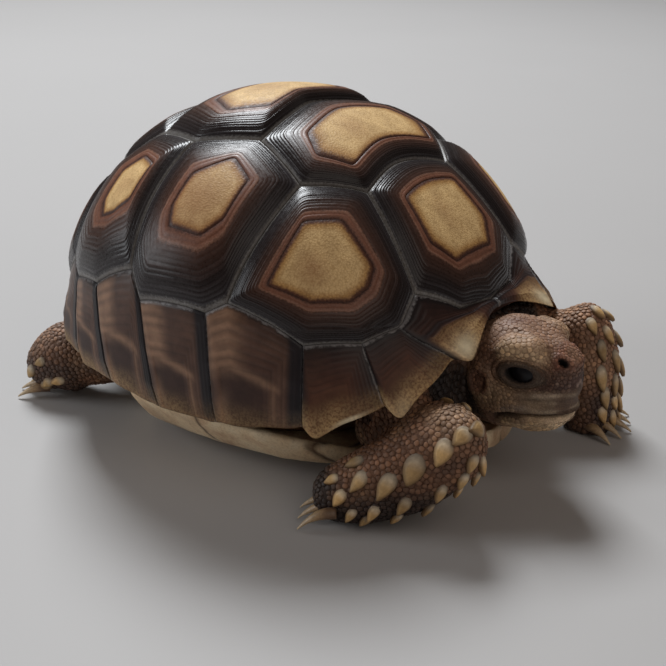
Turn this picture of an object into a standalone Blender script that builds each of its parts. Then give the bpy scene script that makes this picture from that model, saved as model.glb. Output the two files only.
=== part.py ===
"""Young African spurred (sulcata) tortoise at life size, standing with its head out.

Places are written as (forward, right, up) in half shell lengths, measured from the middle
of the shell, and to_world turns them into metres with the animal facing -Y. The shell is
drawn on a flat disc whose points are (forward, right); dome lifts a disc point onto the
shell, so that every scute is a small polygon of the disc. The whole body leans slightly
nose up, and whatever would sink into the ground is flattened at height zero.
"""
import math

import bmesh
import bpy
import numpy as np

# ---- driving dimensions ----
HALF_LENGTH = 0.041                     # half of the straight shell length, in metres
NOSE_UP = math.radians(3.0)             # lean of the whole body
BELLY_LEVEL = -0.135                    # underside of the plastron below the shell's middle
BELLY_FLAT = (-0.80, -0.50)             # stretch of the plastron that rests on the ground
GAP = 0.0003 / HALF_LENGTH              # clearance between neighbouring pieces
PLATE_THICKNESS = 0.0011 / HALF_LENGTH

# Shell dome: one value each for the front, the side and the rear
DOME_HEIGHT = 1.095
DOME_POWER = 2.08                       # 2 is a round arch, more is squarer
APEX_SHIFT = -0.122                     # the top lies a little behind the middle
OUTLINE_POWER = 2.25
WIDTH_RATIO = 0.85                      # width over length
SHOULDER = 0.77                         # disc radius where the costals meet the marginals
SHOULDER_REACH = (0.793, 1.0, 0.924)
SHOULDER_HEIGHT = (0.466, 0.521, 0.385)
SHOULDER_STEEPNESS = (54.9, 84.7, 69.1)
RIM_REACH = (1.0, 0.991, 1.0)
RIM_HEIGHT = (0.355, 0.145, 0.285)
RIM_RISE_POWER = (3.5, 1.2)              # how late the rim rises towards the front and the rear
RIM_FLARE = 1.3
NECK_NOTCH = 0.155                      # the rim draws back over the neck
NECK_NOTCH_ANGLE = 25.0
LIP_WIDTH = 0.11                        # underside of the free rim
LIP_RISE = 0.02
LIP_DROP = 0.035                        # least depth of the lip under the inner edge
UNDER_SAG = 0.012                       # the underside bulges a little below the free edge
FULL_LIP_DEPTH = 0.20                   # marginals shorter than this have a narrower lip

# Corners of the scutes on the disc (forward, right)
SPINE_SEAMS = (0.800, 0.415, 0.110, -0.200, -0.500, -0.780)
SPINE_CORNERS = ((0.644, 0.315), (0.415, 0.216), (0.270, 0.328), (0.110, 0.245), (-0.050, 0.285),
                 (-0.200, 0.220), (-0.350, 0.270), (-0.500, 0.180), (-0.720, 0.260),
                 (-0.768, 0.135))
NECK_CORNER = (0.755, 0.170)
RIM_CORNERS = ((0.644, 0.315), (0.658, 0.428), (0.606, 0.546), (0.466, 0.666), (0.230, 0.687),
               (0.170, 0.737), (-0.079, 0.754), (-0.106, 0.672), (-0.289, 0.681),
               (-0.425, 0.606), (-0.459, 0.528), (-0.582, 0.489), (-0.682, 0.378),
               (-0.708, 0.315), (-0.720, 0.260), (-0.768, 0.135))
# Marginals: last corner of RIM_CORNERS each one reaches, rim angle where it ends, tip length
MARGINALS = ((1, 22.5, 0.05), (2, 39.0, 0.045), (3, 55.6, 0.03), (5, 76.0, 0.0), (6, 93.0, 0.0),
             (8, 110.0, 0.0), (9, 125.0, 0.02), (11, 139.0, 0.035), (12, 151.0, 0.04),
             (13, 161.0, 0.04), (15, 170.0, 0.03))
# Raised centre of each scute: place on the disc, size against the scute, rise in millimetres
SPINE_AREOLAE = ((0.565, 0.43, 0.53, 1.2), (0.255, 0.42, 0.64, 1.3), (-0.020, 0.52, 0.56, 1.8),
                 (-0.340, 0.45, 0.56, 1.5), (-0.620, 0.42, 0.50, 1.1))
COSTAL_AREOLAE = ((0.420, 0.475, 0.46, 1.6), (0.090, 0.460, 0.41, 1.3),
                  (-0.185, 0.440, 0.38, 1.2), (-0.470, 0.385, 0.40, 1.0))
MARGINAL_RISE = 0.5                     # millimetres

# Trunk inside the shell: its depth under the dome, then the reach of its wall over the
# outline at the front, side and rear
TRUNK_DEPTH = 0.0030 / HALF_LENGTH
TRUNK_WALL = (0.62, 0.80, 0.66)
TRUNK_BASE = (0.58, 0.66, 0.60)
TRUNK_FLOOR = -0.045

# Head: forward, half width, top, underside
HEAD_STATIONS = ((0.705, 0.105, 0.310, 0.050), (0.760, 0.140, 0.352, 0.026),
                 (0.840, 0.168, 0.392, 0.008), (0.920, 0.178, 0.414, 0.000),
                 (0.985, 0.174, 0.412, 0.002), (1.040, 0.157, 0.396, 0.010),
                 (1.090, 0.132, 0.370, 0.022), (1.130, 0.103, 0.342, 0.045),
                 (1.158, 0.074, 0.312, 0.080), (1.172, 0.042, 0.282, 0.120))
HEAD_NOSE = (1.178, 0.0, 0.205)
HEAD_SIDE = 0.025                       # the head lies a little to the right of the middle
HEAD_SQUARENESS = 2.4
EYE_PLACE = (0.998, 0.098, 0.246)       # centre of the eye's sphere, from the head's middle
EYE_RADIUS = 0.078
EYE_HALF_ANGLE = math.radians(62.0)

CLAW_LENGTH = 0.105
CLAW_RADIUS = 0.024
CLAW_TIP = 0.007


def material(name, color, roughness):
    made = bpy.data.materials.new(name)
    made.use_nodes = True
    shader = made.node_tree.nodes["Principled BSDF"]
    shader.inputs["Base Color"].default_value = (*color, 1.0)
    shader.inputs["Roughness"].default_value = roughness
    shader.inputs["Metallic"].default_value = 0.0
    return made


# ---- frame ----
FLOOR = -(BELLY_LEVEL * math.cos(NOSE_UP) + BELLY_FLAT[1] * math.sin(NOSE_UP))


def to_world(place):
    """Turn (forward, right, up) into metres, leaning the body and flattening at the ground."""
    forward, right, up = place
    ahead = forward * math.cos(NOSE_UP) - up * math.sin(NOSE_UP)
    height = up * math.cos(NOSE_UP) + forward * math.sin(NOSE_UP) + FLOOR
    return (-right * HALF_LENGTH, -ahead * HALF_LENGTH, max(height, 0.0) * HALF_LENGTH)


def mirrored(places):
    """The same places on the left side, in an order that keeps the faces outward."""
    return [(forward, -right, up) for forward, right, up in reversed(places)]


# ---- meshes ----
def new_object(name, mesh, surface):
    shown = bpy.data.objects.new(name, mesh)
    bpy.context.scene.collection.objects.link(shown)
    mesh.materials.append(surface)
    return shown


def ring_solid(name, rings, surface, start=None, end=None, cap=None):
    """Close a row of equal rings into one body.

    Each end is a point where one is given, else the triangles of cap, else one flat face.
    """
    body = bmesh.new()
    rows = [[body.verts.new(to_world(place)) for place in ring] for ring in rings]
    count = len(rings[0])
    for row, following in zip(rows, rows[1:]):
        for i in range(count):
            j = (i + 1) % count
            body.faces.new((row[i], row[j], following[j], following[i]))
    for row, tip in ((rows[0], start), (rows[-1], end)):
        if tip is None and cap:
            for corners in cap:
                body.faces.new([row[i] for i in corners])
            continue
        if tip is None:
            body.faces.new(row)
            continue
        apex = body.verts.new(to_world(tip))
        for i in range(count):
            body.faces.new((row[i], row[(i + 1) % count], apex))
    bmesh.ops.recalc_face_normals(body, faces=body.faces)
    mesh = bpy.data.meshes.new(name)
    body.to_mesh(mesh)
    body.free()
    mesh.shade_smooth()
    mesh.set_sharp_from_angle(angle=math.radians(40.0))
    return new_object(name, mesh, surface)


def combine(target, other, operation):
    """Join or cut with a second solid, which stays only as a wire guide."""
    modifier = target.modifiers.new(operation.title(), "BOOLEAN")
    modifier.operation = operation
    modifier.solver = "EXACT"
    modifier.object = other
    other.hide_render = True
    other.display_type = "WIRE"


# ---- shell surface ----
def around(angle, values):
    """Mix a front, a side and a rear value by heading."""
    front, side, rear = values
    ahead = math.cos(angle)
    front_share = max(ahead, 0.0) ** 2
    rear_share = max(-ahead, 0.0) ** 2
    return front * front_share + rear * rear_share + side * (1.0 - front_share - rear_share)


def rim_height(angle):
    front, side, rear = RIM_HEIGHT
    ahead = math.cos(angle)
    rise = (front - side) * max(ahead, 0.0) ** RIM_RISE_POWER[0]
    return side + rise + (rear - side) * max(-ahead, 0.0) ** RIM_RISE_POWER[1]


def outline(angle):
    along = abs(math.cos(angle)) ** OUTLINE_POWER
    across = (abs(math.sin(angle)) / WIDTH_RATIO) ** OUTLINE_POWER
    return (along + across) ** (-1.0 / OUTLINE_POWER)


def dome(disc):
    """Point of the smooth shell over a disc point."""
    radius = math.hypot(*disc)
    angle = math.atan2(disc[1], disc[0])
    inner = min(radius / SHOULDER, 1.0)
    outer = max((radius - SHOULDER) / (1.0 - SHOULDER), 0.0)
    steepness = math.radians(around(angle, SHOULDER_STEEPNESS))
    foot = math.cos(steepness) ** (2.0 / DOME_POWER)
    arch = math.cos(inner * steepness) ** (2.0 / DOME_POWER)
    shoulder = outline(angle) * around(angle, SHOULDER_REACH)
    rim = outline(angle) * around(angle, RIM_REACH)
    shoulder_height = around(angle, SHOULDER_HEIGHT)
    reach = shoulder * math.sin(inner * steepness) / math.sin(steepness)
    reach += (rim - shoulder) * outer ** RIM_FLARE
    height = shoulder_height + (DOME_HEIGHT - shoulder_height) * (arch - foot) / (1.0 - foot)
    height += (rim_height(angle) - shoulder_height) * outer
    return np.array((reach * math.cos(angle) + APEX_SHIFT * (1.0 - inner),
                     reach * math.sin(angle), height))


def shell_point(disc, lift=0.0):
    """Point at a height over the smooth shell, along its outward direction."""
    step = 0.002
    forward, right = disc
    along = dome((forward + step, right)) - dome((forward - step, right))
    across = dome((forward, right + step)) - dome((forward, right - step))
    outward = np.cross(along, across)
    return tuple(dome(disc) + outward * lift / np.linalg.norm(outward))


# ---- scutes ----
def inset(corners, distance):
    """Move every side of a polygon inwards."""
    points = np.array(corners)
    middle = points.mean(axis=0)
    sides = []
    for start, end in zip(points, np.roll(points, -1, axis=0)):
        along = (end - start) / np.linalg.norm(end - start)
        inward = np.array((-along[1], along[0]))
        if inward @ (middle - start) < 0.0:
            inward = -inward
        sides.append((start + inward * distance, along))
    moved = []
    for (base, along), (other, across) in zip(sides[-1:] + sides[:-1], sides):
        reach = np.linalg.solve(np.column_stack((along, -across)), other - base)[0]
        moved.append(base + along * reach)
    return moved


def walk(corners, steps):
    """Points along a closed polygon, a few to each side."""
    points = []
    for start, end in zip(corners, list(corners[1:]) + [corners[0]]):
        points += [start + (end - start) * step / steps for step in range(steps)]
    return points


SIDE_STEPS = 3
RELIEF_POWER = 2.4


def scute(name, corners, centre, size, rise, surface, steps=SIDE_STEPS):
    """Curved plate: flat raised centre, slope down to the seams, thin edge, plain underside."""
    middle = np.array(centre)
    edge = walk(inset(corners, GAP / 2.0), steps)
    middle_edge = [middle + (point - np.mean(edge, axis=0)) * np.array(size) for point in edge]
    rise = rise * 0.001 / HALF_LENGTH

    def ring(share, lift):
        return [shell_point(inner + (outer - inner) * share, lift)
                for inner, outer in zip(middle_edge, edge)]

    under = -PLATE_THICKNESS
    rings = [ring(0.0, rise)]
    rings += [ring(share, rise * (1.0 - share ** RELIEF_POWER)) for share in (0.3, 0.65, 1.0)]
    rings += [ring(1.0, under), ring(0.0, under)]
    return ring_solid(name, rings, surface, shell_point(middle, rise * 1.05),
                      shell_point(middle, under))


def rim_radius(angle):
    return 1.0 - NECK_NOTCH * math.exp(-(math.degrees(angle) / NECK_NOTCH_ANGLE) ** 2)


def chain_point(chain, share):
    """Point at a share of the length of a broken line."""
    lengths = [np.linalg.norm(end - start) for start, end in zip(chain, chain[1:])]
    left = share * sum(lengths)
    for start, end, length in zip(chain, chain[1:], lengths):
        if left <= length or end is chain[-1]:
            return start + (end - start) * min(left / length, 1.0)
        left -= length


TIP_PLACE = 0.86                        # where along the scute its tip stands out most


def marginal_section(chain, start_angle, end_angle, share, tip):
    """Cut across a marginal: down the outside, round the free rim and back up the inside."""
    inner = chain_point(chain, share)
    inner_radius = math.hypot(*inner) + GAP
    inner_angle = math.atan2(inner[1], inner[0]) % (2.0 * math.pi)
    rim_angle = start_angle + (end_angle - start_angle) * share
    if share < TIP_PLACE:
        reach = (share / TIP_PLACE) ** 2
    else:
        reach = (1.0 - share) / (1.0 - TIP_PLACE)
    rim = rim_radius(rim_angle) + tip * reach

    def disc(down):
        radius = inner_radius + (rim - inner_radius) * down
        angle = inner_angle + (rim_angle - inner_angle) * down
        return (radius * math.cos(angle), radius * math.sin(angle))

    rise = MARGINAL_RISE * 0.001 / HALF_LENGTH
    outside = [shell_point(disc(0.0), 0.0), shell_point(disc(0.45), rise),
               shell_point(disc(0.8), rise), shell_point(disc(1.0), 0.0)]
    fullness = min(max((rim - inner_radius) / FULL_LIP_DEPTH, 0.4), 1.0)
    inside = [shell_point(disc(0.45), -PLATE_THICKNESS * (0.8 + 0.8 * fullness)),
              shell_point(disc(0.0), -PLATE_THICKNESS)]
    edge = dome((rim_radius(rim_angle) * math.cos(rim_angle),
                 rim_radius(rim_angle) * math.sin(rim_angle)))
    inward = (np.array(inside[0]) - edge) * np.array((1.0, 1.0, 0.0))
    inward /= np.linalg.norm(inward)
    lip = edge + inward * LIP_WIDTH * fullness
    lip[2] = min(edge[2] + LIP_RISE, inside[1][2] - LIP_DROP)
    under = edge * 0.65 + lip * 0.35 - np.array((0.0, 0.0, UNDER_SAG))
    return outside + [tuple(under), tuple(lip)] + inside


MARGINAL_CUTS = (0.0, 0.2, 0.42, 0.64, TIP_PLACE, 1.0)
CUT_SPACING = 0.12
# The end faces are triangled alike, so that neighbours keep their gap all over
MARGINAL_CAP = ((0, 1, 7), (1, 6, 7), (1, 2, 6), (2, 5, 6), (2, 3, 5), (3, 4, 5))


def marginal(name, chain, start_angle, end_angle, tip, surface, left=False):
    chain = [np.array(point) for point in chain]
    lengths = [np.linalg.norm(end - start) for start, end in zip(chain, chain[1:])]
    corners = list(np.cumsum(lengths)[:-1] / sum(lengths))
    cuts = [cut for cut in MARGINAL_CUTS
            if all(abs(cut - corner) > CUT_SPACING for corner in corners)]
    ends = GAP / 2.0 / sum(lengths)
    sections = [marginal_section(chain, start_angle, end_angle, min(max(cut, ends), 1.0 - ends), tip)
                for cut in sorted(cuts + corners)]
    if left:
        sections = [mirrored(section) for section in sections]
    return ring_solid(name, sections, surface, cap=MARGINAL_CAP)


def spine_outline(index):
    """Corners of one vertebral scute, right side down and left side back up."""
    if index == 0:
        right = [NECK_CORNER, SPINE_CORNERS[0], SPINE_CORNERS[1]]
    else:
        first = 2 * index - 1
        right = list(SPINE_CORNERS[first:first + 3])
    left = [(forward, -side) for forward, side in reversed(right)]
    if index == 0:
        return [(SPINE_SEAMS[0], 0.0)] + right + left
    if index == 4:
        return right + [(SPINE_SEAMS[5], 0.0)] + left
    return right + left


def costal_outlines():
    """Corners of the four right costal scutes."""
    spine, rim = SPINE_CORNERS, RIM_CORNERS
    return ([*rim[0:5], spine[2], spine[1]],
            [spine[2], *rim[4:8], spine[4], spine[3]],
            [spine[4], *rim[7:11], spine[6], spine[5]],
            [spine[6], *rim[10:13], spine[8], spine[7]])


def build_shell(surface, rim_surface):
    for index in range(5):
        forward, length, width, rise = SPINE_AREOLAE[index]
        scute(f"vertebral_{index + 1}", spine_outline(index), (forward, 0.0), (length, width),
              rise, surface)
    for index, corners in enumerate(costal_outlines()):
        forward, side, size, rise = COSTAL_AREOLAE[index]
        scute(f"costal_right_{index + 1}", corners, (forward, side), (size, size), rise, surface)
        flipped = [(ahead, -right) for ahead, right in corners]
        scute(f"costal_left_{index + 1}", flipped, (forward, -side), (size, size), rise, surface)
    start, start_angle = 0, 0.0
    for index, (end, end_degrees, tip) in enumerate(MARGINALS):
        end_angle = math.radians(end_degrees)
        chain = list(RIM_CORNERS[start:end + 1])
        if index == 0:
            chain = [(SPINE_SEAMS[0], 0.0), NECK_CORNER] + chain
        for side in ("right", "left"):
            marginal(f"marginal_{side}_{index + 1}", chain, start_angle, end_angle, tip,
                     rim_surface, left=side == "left")
        start, start_angle = end, end_angle
    half = [RIM_CORNERS[-1], (SPINE_SEAMS[5], 0.0)]
    chain = half + [(half[0][0], -half[0][1])]
    marginal("supracaudal", chain, start_angle, 2.0 * math.pi - start_angle, 0.0, rim_surface)


# ---- plastron ----
# forward, half width of the flat underside, half width of the top edge, height of that edge
PLASTRON_STATIONS = ((0.860, 0.075, 0.135, -0.060), (0.800, 0.150, 0.200, -0.062),
                     (0.660, 0.270, 0.345, -0.062), (0.500, 0.370, 0.470, -0.058),
                     (0.400, 0.420, 0.650, 0.040), (0.300, 0.450, 0.740, 0.092),
                     (0.000, 0.470, 0.762, 0.098), (-0.300, 0.450, 0.745, 0.118),
                     (-0.400, 0.420, 0.650, 0.070), (-0.500, 0.370, 0.465, -0.040),
                     (-0.640, 0.300, 0.370, -0.062), (-0.740, 0.210, 0.275, -0.062),
                     (-0.790, 0.130, 0.190, -0.060))
PLASTRON_TOP = -0.062
PLASTRON_BOW = 0.035                    # the front curves up towards the throat


def plastron_section(forward, flat, edge, edge_height):
    """Belly plate and bridges in one cut, from the left edge under to the right and back."""
    bow = PLASTRON_BOW * max((forward - 0.45) / 0.4, 0.0) ** 2
    low, top = BELLY_LEVEL + bow, PLASTRON_TOP + bow
    height = edge_height + bow
    wall = min(0.055, edge * 0.3)
    shoulder = flat + (edge - flat) * 0.55
    half = [(flat * 0.6, low), (flat, low + 0.008),
            (shoulder, low + 0.008 + (height - low) * 0.28), (edge, height),
            (edge - wall, height + 0.012),
            (min(shoulder, edge - wall) - 0.03, max(top, low + (height - low) * 0.31)),
            (flat * 0.6, top)]
    under = [(forward, right, up) for right, up in half]
    return under + [(forward, -right, up) for _, right, up in reversed(under)]


def build_plastron(surface):
    sections = [plastron_section(*station) for station in PLASTRON_STATIONS]
    return ring_solid("plastron", sections, surface)


# ---- flesh ----
def trunk_rings(growth):
    """Rings of the body inside the shell, drawn back in front and behind for the limbs."""
    sides = 28
    angles = [2.0 * math.pi * side / sides for side in range(sides)]
    rings = []
    for radius in (0.30, 0.52, 0.66):
        rings.append([shell_point((radius * math.cos(a), radius * math.sin(a)),
                                  growth - TRUNK_DEPTH) for a in angles])
    for height, reach in ((0.30, TRUNK_WALL), (0.09, TRUNK_WALL), (TRUNK_FLOOR, TRUNK_BASE)):
        ring = []
        for a in angles:
            radius = outline(a) * around(a, reach) + growth
            ring.append((math.cos(a) * radius, math.sin(a) * radius, height))
        rings.append(ring)
    return rings


def build_trunk(name, surface, growth=0.0):
    return ring_solid(name, trunk_rings(growth), surface,
                      shell_point((0.0, 0.0), growth - TRUNK_DEPTH),
                      (0.0, 0.0, TRUNK_FLOOR))


def oval(centre, along, half_width, half_height, sides, up=(0.0, 0.0, 1.0), power=2.0):
    """Ring across a direction; a power over 2 makes it squarer."""
    along = np.array(along, dtype=float)
    along /= np.linalg.norm(along)
    across = np.cross(along, np.array(up))
    across /= np.linalg.norm(across)
    above = np.cross(across, along)
    ring = []
    for side in range(sides):
        angle = 2.0 * math.pi * side / sides
        c, s = math.cos(angle), math.sin(angle)
        size = (abs(c) ** power + abs(s) ** power) ** (-1.0 / power)
        ring.append(tuple(np.array(centre) + across * half_width * c * size
                          + above * half_height * s * size))
    return ring


LIMB_SIDES = 14


def tube(name, stations, surface, sides=LIMB_SIDES, up=(0.0, 0.0, 1.0)):
    """Limb or tail through stations of (place, half width, half height)."""
    places = [np.array(place) for place, _, _ in stations]
    rings = []
    for index, (place, width, height) in enumerate(stations):
        along = places[min(index + 1, len(places) - 1)] - places[max(index - 1, 0)]
        rings.append(oval(place, along, width, height, sides, up, power=2.2))
    return ring_solid(name, rings, surface)


def claws(name, roots, surface):
    """All claws of one foot, each a bent cone with a blunt tip, in one mesh."""
    body = bmesh.new()
    for root, heading, drop in roots:
        root = np.array(root)
        ahead = np.array((math.cos(heading), math.sin(heading), 0.0))
        down = np.array((0.0, 0.0, -1.0))
        rows = []
        for share, radius in ((-0.25, CLAW_RADIUS), (0.35, CLAW_RADIUS * 0.85), (1.0, CLAW_TIP)):
            centre = root + ahead * CLAW_LENGTH * share + down * drop * max(share, 0.0) ** 2
            ring = oval(centre, ahead, radius, radius, 6)
            rows.append([body.verts.new(to_world(place)) for place in ring])
        for row, following in zip(rows, rows[1:]):
            for i in range(6):
                j = (i + 1) % 6
                body.faces.new((row[i], row[j], following[j], following[i]))
        body.faces.new(rows[0])
        body.faces.new(rows[-1])
    bmesh.ops.recalc_face_normals(body, faces=body.faces)
    mesh = bpy.data.meshes.new(name)
    body.to_mesh(mesh)
    body.free()
    return new_object(name, mesh, surface)


def claw_fan(root, heading, spread, count, width, drop):
    """Roots of the claws of one foot, side by side across its heading."""
    fan = []
    for index in range(count):
        place = index / (count - 1) - 0.5
        turn = heading + math.radians(spread) * place
        side = (-math.sin(heading) * width * place, math.cos(heading) * width * place)
        back = abs(place) * width * 0.35
        fan.append(((root[0] + side[0] - math.cos(heading) * back,
                     root[1] + side[1] - math.sin(heading) * back, root[2]), turn, drop))
    return fan


# Limb stations: place, half width, half height
FRONT_RIGHT_ARM = (((0.620, 0.380, 0.050), 0.110, 0.085), ((0.830, 0.455, 0.085), 0.130, 0.125),
                   ((0.910, 0.470, 0.090), 0.125, 0.125), ((0.965, 0.480, 0.080), 0.095, 0.095))
FRONT_RIGHT_FOREARM = (((1.030, 0.455, 0.125), 0.050, 0.055), ((0.990, 0.470, 0.110), 0.100, 0.105),
                       ((0.910, 0.500, 0.075), 0.118, 0.132), ((0.810, 0.545, 0.010), 0.118, 0.148),
                       ((0.705, 0.592, -0.048), 0.113, 0.140), ((0.615, 0.630, -0.085), 0.110, 0.118),
                       ((0.550, 0.655, -0.110), 0.098, 0.095), ((0.512, 0.670, -0.120), 0.070, 0.070))
FRONT_LEFT_ARM = (((0.620, -0.380, 0.045), 0.110, 0.085), ((0.730, -0.445, 0.065), 0.120, 0.110),
                  ((0.800, -0.485, 0.080), 0.130, 0.115), ((0.860, -0.520, 0.125), 0.132, 0.132),
                  ((0.910, -0.540, 0.150), 0.105, 0.110))
FRONT_LEFT_FOREARM = (((0.895, -0.536, 0.275), 0.055, 0.050), ((0.910, -0.538, 0.235), 0.115, 0.105),
                      ((0.935, -0.542, 0.130), 0.140, 0.130), ((0.955, -0.546, 0.010), 0.140, 0.130),
                      ((0.968, -0.549, -0.085), 0.132, 0.115), ((0.975, -0.551, -0.160), 0.130, 0.108),
                      ((0.978, -0.552, -0.250), 0.125, 0.100))
REAR_RIGHT_LEG = (((-0.620, 0.370, 0.050), 0.100, 0.080), ((-0.735, 0.425, 0.045), 0.120, 0.110),
                  ((-0.810, 0.455, 0.050), 0.135, 0.130), ((-0.880, 0.485, 0.040), 0.140, 0.155),
                  ((-0.950, 0.510, 0.000), 0.128, 0.130), ((-0.990, 0.525, -0.055), 0.105, 0.085))
REAR_LEFT_THIGH = (((-0.620, -0.370, 0.030), 0.080, 0.060), ((-0.715, -0.430, 0.015), 0.110, 0.080),
                   ((-0.780, -0.500, 0.000), 0.120, 0.085), ((-0.820, -0.545, -0.015), 0.095, 0.070))
REAR_LEFT_FOOT = (((-0.810, -0.540, 0.060), 0.060, 0.060), ((-0.815, -0.545, 0.030), 0.110, 0.110),
                  ((-0.820, -0.555, -0.040), 0.130, 0.130), ((-0.828, -0.562, -0.100), 0.128, 0.125),
                  ((-0.830, -0.565, -0.160), 0.125, 0.120))
TAIL = (((-0.620, 0.000, 0.035), 0.080, 0.070), ((-0.800, 0.000, 0.015), 0.068, 0.060),
        ((-0.890, 0.005, -0.010), 0.045, 0.040), ((-0.950, 0.010, -0.035), 0.020, 0.018))
NECK = (((0.600, 0.000, 0.150), 0.150, 0.130), ((0.675, 0.010, 0.165), 0.140, 0.128),
        ((0.696, 0.018, 0.175), 0.120, 0.118))


def build_limbs(skin, horn, body_room):
    combine(tube("tail", TAIL, skin, sides=12), body_room, "DIFFERENCE")
    front_right = tube("leg_front_right", FRONT_RIGHT_FOREARM, skin)
    combine(front_right, tube("guide_arm_right", FRONT_RIGHT_ARM, skin), "UNION")
    front_left = tube("leg_front_left", FRONT_LEFT_FOREARM, skin, up=(1.0, 0.0, 0.0))
    combine(front_left, tube("guide_arm_left", FRONT_LEFT_ARM, skin), "UNION")
    rear_right = tube("leg_rear_right", REAR_RIGHT_LEG, skin)
    rear_left = tube("leg_rear_left", REAR_LEFT_FOOT, skin, up=(1.0, 0.0, 0.0))
    combine(rear_left, tube("guide_thigh_left", REAR_LEFT_THIGH, skin), "UNION")
    feet = ((front_right, (0.545, 0.663, -0.125), 165.0, 50.0, 5, 0.20, 0.050),
            (front_left, (1.045, -0.560, -0.175), -8.0, 50.0, 5, 0.21, 0.040),
            (rear_right, (-0.990, 0.535, -0.070), 160.0, 45.0, 4, 0.17, 0.030),
            (rear_left, (-0.850, -0.650, -0.085), -112.0, 45.0, 4, 0.18, 0.035))
    for foot, root, heading, spread, count, width, drop in feet:
        fan = claw_fan(root, math.radians(heading), spread, count, width, drop)
        combine(foot, claws(f"guide_claws_{foot.name}", fan, horn), "UNION")
        combine(foot, body_room, "DIFFERENCE")


def build_neck(skin, body_room):
    rings = [oval(place, (1.0, 0.0, 0.0), width, height, 16) for place, width, height in NECK]
    combine(ring_solid("neck", rings, skin), body_room, "DIFFERENCE")


def head_place(forward, right, up):
    return (forward, right + HEAD_SIDE, up)


def eye_rings(side, radius, half_angle):
    """Rings of a ball's outer cap, looking out to one side and a little forward and up."""
    look = np.array((0.22, side * 1.0, 0.10))
    look /= np.linalg.norm(look)
    forward, right, up = EYE_PLACE
    middle = np.array(head_place(forward, side * right, up))
    rings = []
    for step in range(5, 0, -1):
        angle = half_angle * step / 5
        rings.append(oval(middle + look * radius * math.cos(angle), look,
                          radius * math.sin(angle), radius * math.sin(angle), 16))
    return rings, tuple(middle + look * radius)


def build_head(skin, eye):
    rings = []
    for forward, width, top, base in HEAD_STATIONS:
        rings.append(oval(head_place(forward, 0.0, (top + base) / 2.0), (1.0, 0.0, 0.0), width,
                          (top - base) / 2.0, 20, power=HEAD_SQUARENESS))
    head = ring_solid("head", rings, skin, end=head_place(*HEAD_NOSE))
    for side, word in ((1.0, "right"), (-1.0, "left")):
        socket, front = eye_rings(side, EYE_RADIUS + GAP, EYE_HALF_ANGLE + math.radians(5.0))
        combine(head, ring_solid(f"guide_socket_{word}", socket, skin, end=front), "DIFFERENCE")
        ball, front = eye_rings(side, EYE_RADIUS, EYE_HALF_ANGLE)
        ring_solid(f"eye_{word}", ball, eye, end=front)
    return head


def stand_over_origin():
    """Centre the whole animal over the origin, keeping its height."""
    corners = np.array([tuple(vertex.co) for item in bpy.data.objects
                        for vertex in item.data.vertices])
    middle = (corners.min(axis=0) + corners.max(axis=0)) / 2.0
    for item in bpy.data.objects:
        item.location = (-middle[0], -middle[1], 0.0)


def main():
    for item in list(bpy.data.objects):
        bpy.data.objects.remove(item, do_unlink=True)
    scute_horn = material("scute_horn", (0.16, 0.10, 0.07), 0.42)
    rim_horn = material("rim_horn", (0.24, 0.15, 0.10), 0.48)
    belly_horn = material("belly_horn", (0.62, 0.50, 0.34), 0.50)
    skin = material("scaly_skin", (0.30, 0.21, 0.15), 0.75)
    claw_horn = material("claw_horn", (0.48, 0.38, 0.26), 0.50)
    eye = material("eye", (0.02, 0.02, 0.025), 0.12)
    build_shell(scute_horn, rim_horn)
    build_plastron(belly_horn)
    build_trunk("trunk", skin)
    body_room = build_trunk("guide_body_room", skin, growth=GAP * 1.2)
    build_neck(skin, body_room)
    build_head(skin, eye)
    build_limbs(skin, claw_horn, body_room)
    stand_over_origin()


main()
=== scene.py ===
import math

import bmesh
import bpy
import numpy as np
from mathutils import Matrix, Vector
from mathutils.bvhtree import BVHTree
from mathutils.kdtree import KDTree


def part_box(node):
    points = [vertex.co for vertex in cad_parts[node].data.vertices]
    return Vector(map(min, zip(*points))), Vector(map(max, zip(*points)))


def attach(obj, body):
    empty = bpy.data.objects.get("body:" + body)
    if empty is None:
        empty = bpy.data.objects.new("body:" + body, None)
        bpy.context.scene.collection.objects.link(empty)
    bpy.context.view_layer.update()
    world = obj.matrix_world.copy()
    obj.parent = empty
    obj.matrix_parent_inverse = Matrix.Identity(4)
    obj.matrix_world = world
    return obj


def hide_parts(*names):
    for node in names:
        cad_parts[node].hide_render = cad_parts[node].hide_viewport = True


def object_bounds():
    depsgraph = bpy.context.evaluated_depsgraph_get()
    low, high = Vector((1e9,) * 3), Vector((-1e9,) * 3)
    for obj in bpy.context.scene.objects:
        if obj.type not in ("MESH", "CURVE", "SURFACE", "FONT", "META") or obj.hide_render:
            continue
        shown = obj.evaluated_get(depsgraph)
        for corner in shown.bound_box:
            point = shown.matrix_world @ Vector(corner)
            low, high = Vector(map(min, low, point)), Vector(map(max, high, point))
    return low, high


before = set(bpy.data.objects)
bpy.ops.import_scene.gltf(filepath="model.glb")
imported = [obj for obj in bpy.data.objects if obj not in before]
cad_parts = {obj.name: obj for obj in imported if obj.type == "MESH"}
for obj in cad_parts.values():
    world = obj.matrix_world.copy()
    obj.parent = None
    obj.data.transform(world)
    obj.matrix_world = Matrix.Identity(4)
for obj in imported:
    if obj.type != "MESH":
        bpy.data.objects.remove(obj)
cadLow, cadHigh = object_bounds()
print("frame loaded:", len(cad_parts), "nodes")


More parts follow.
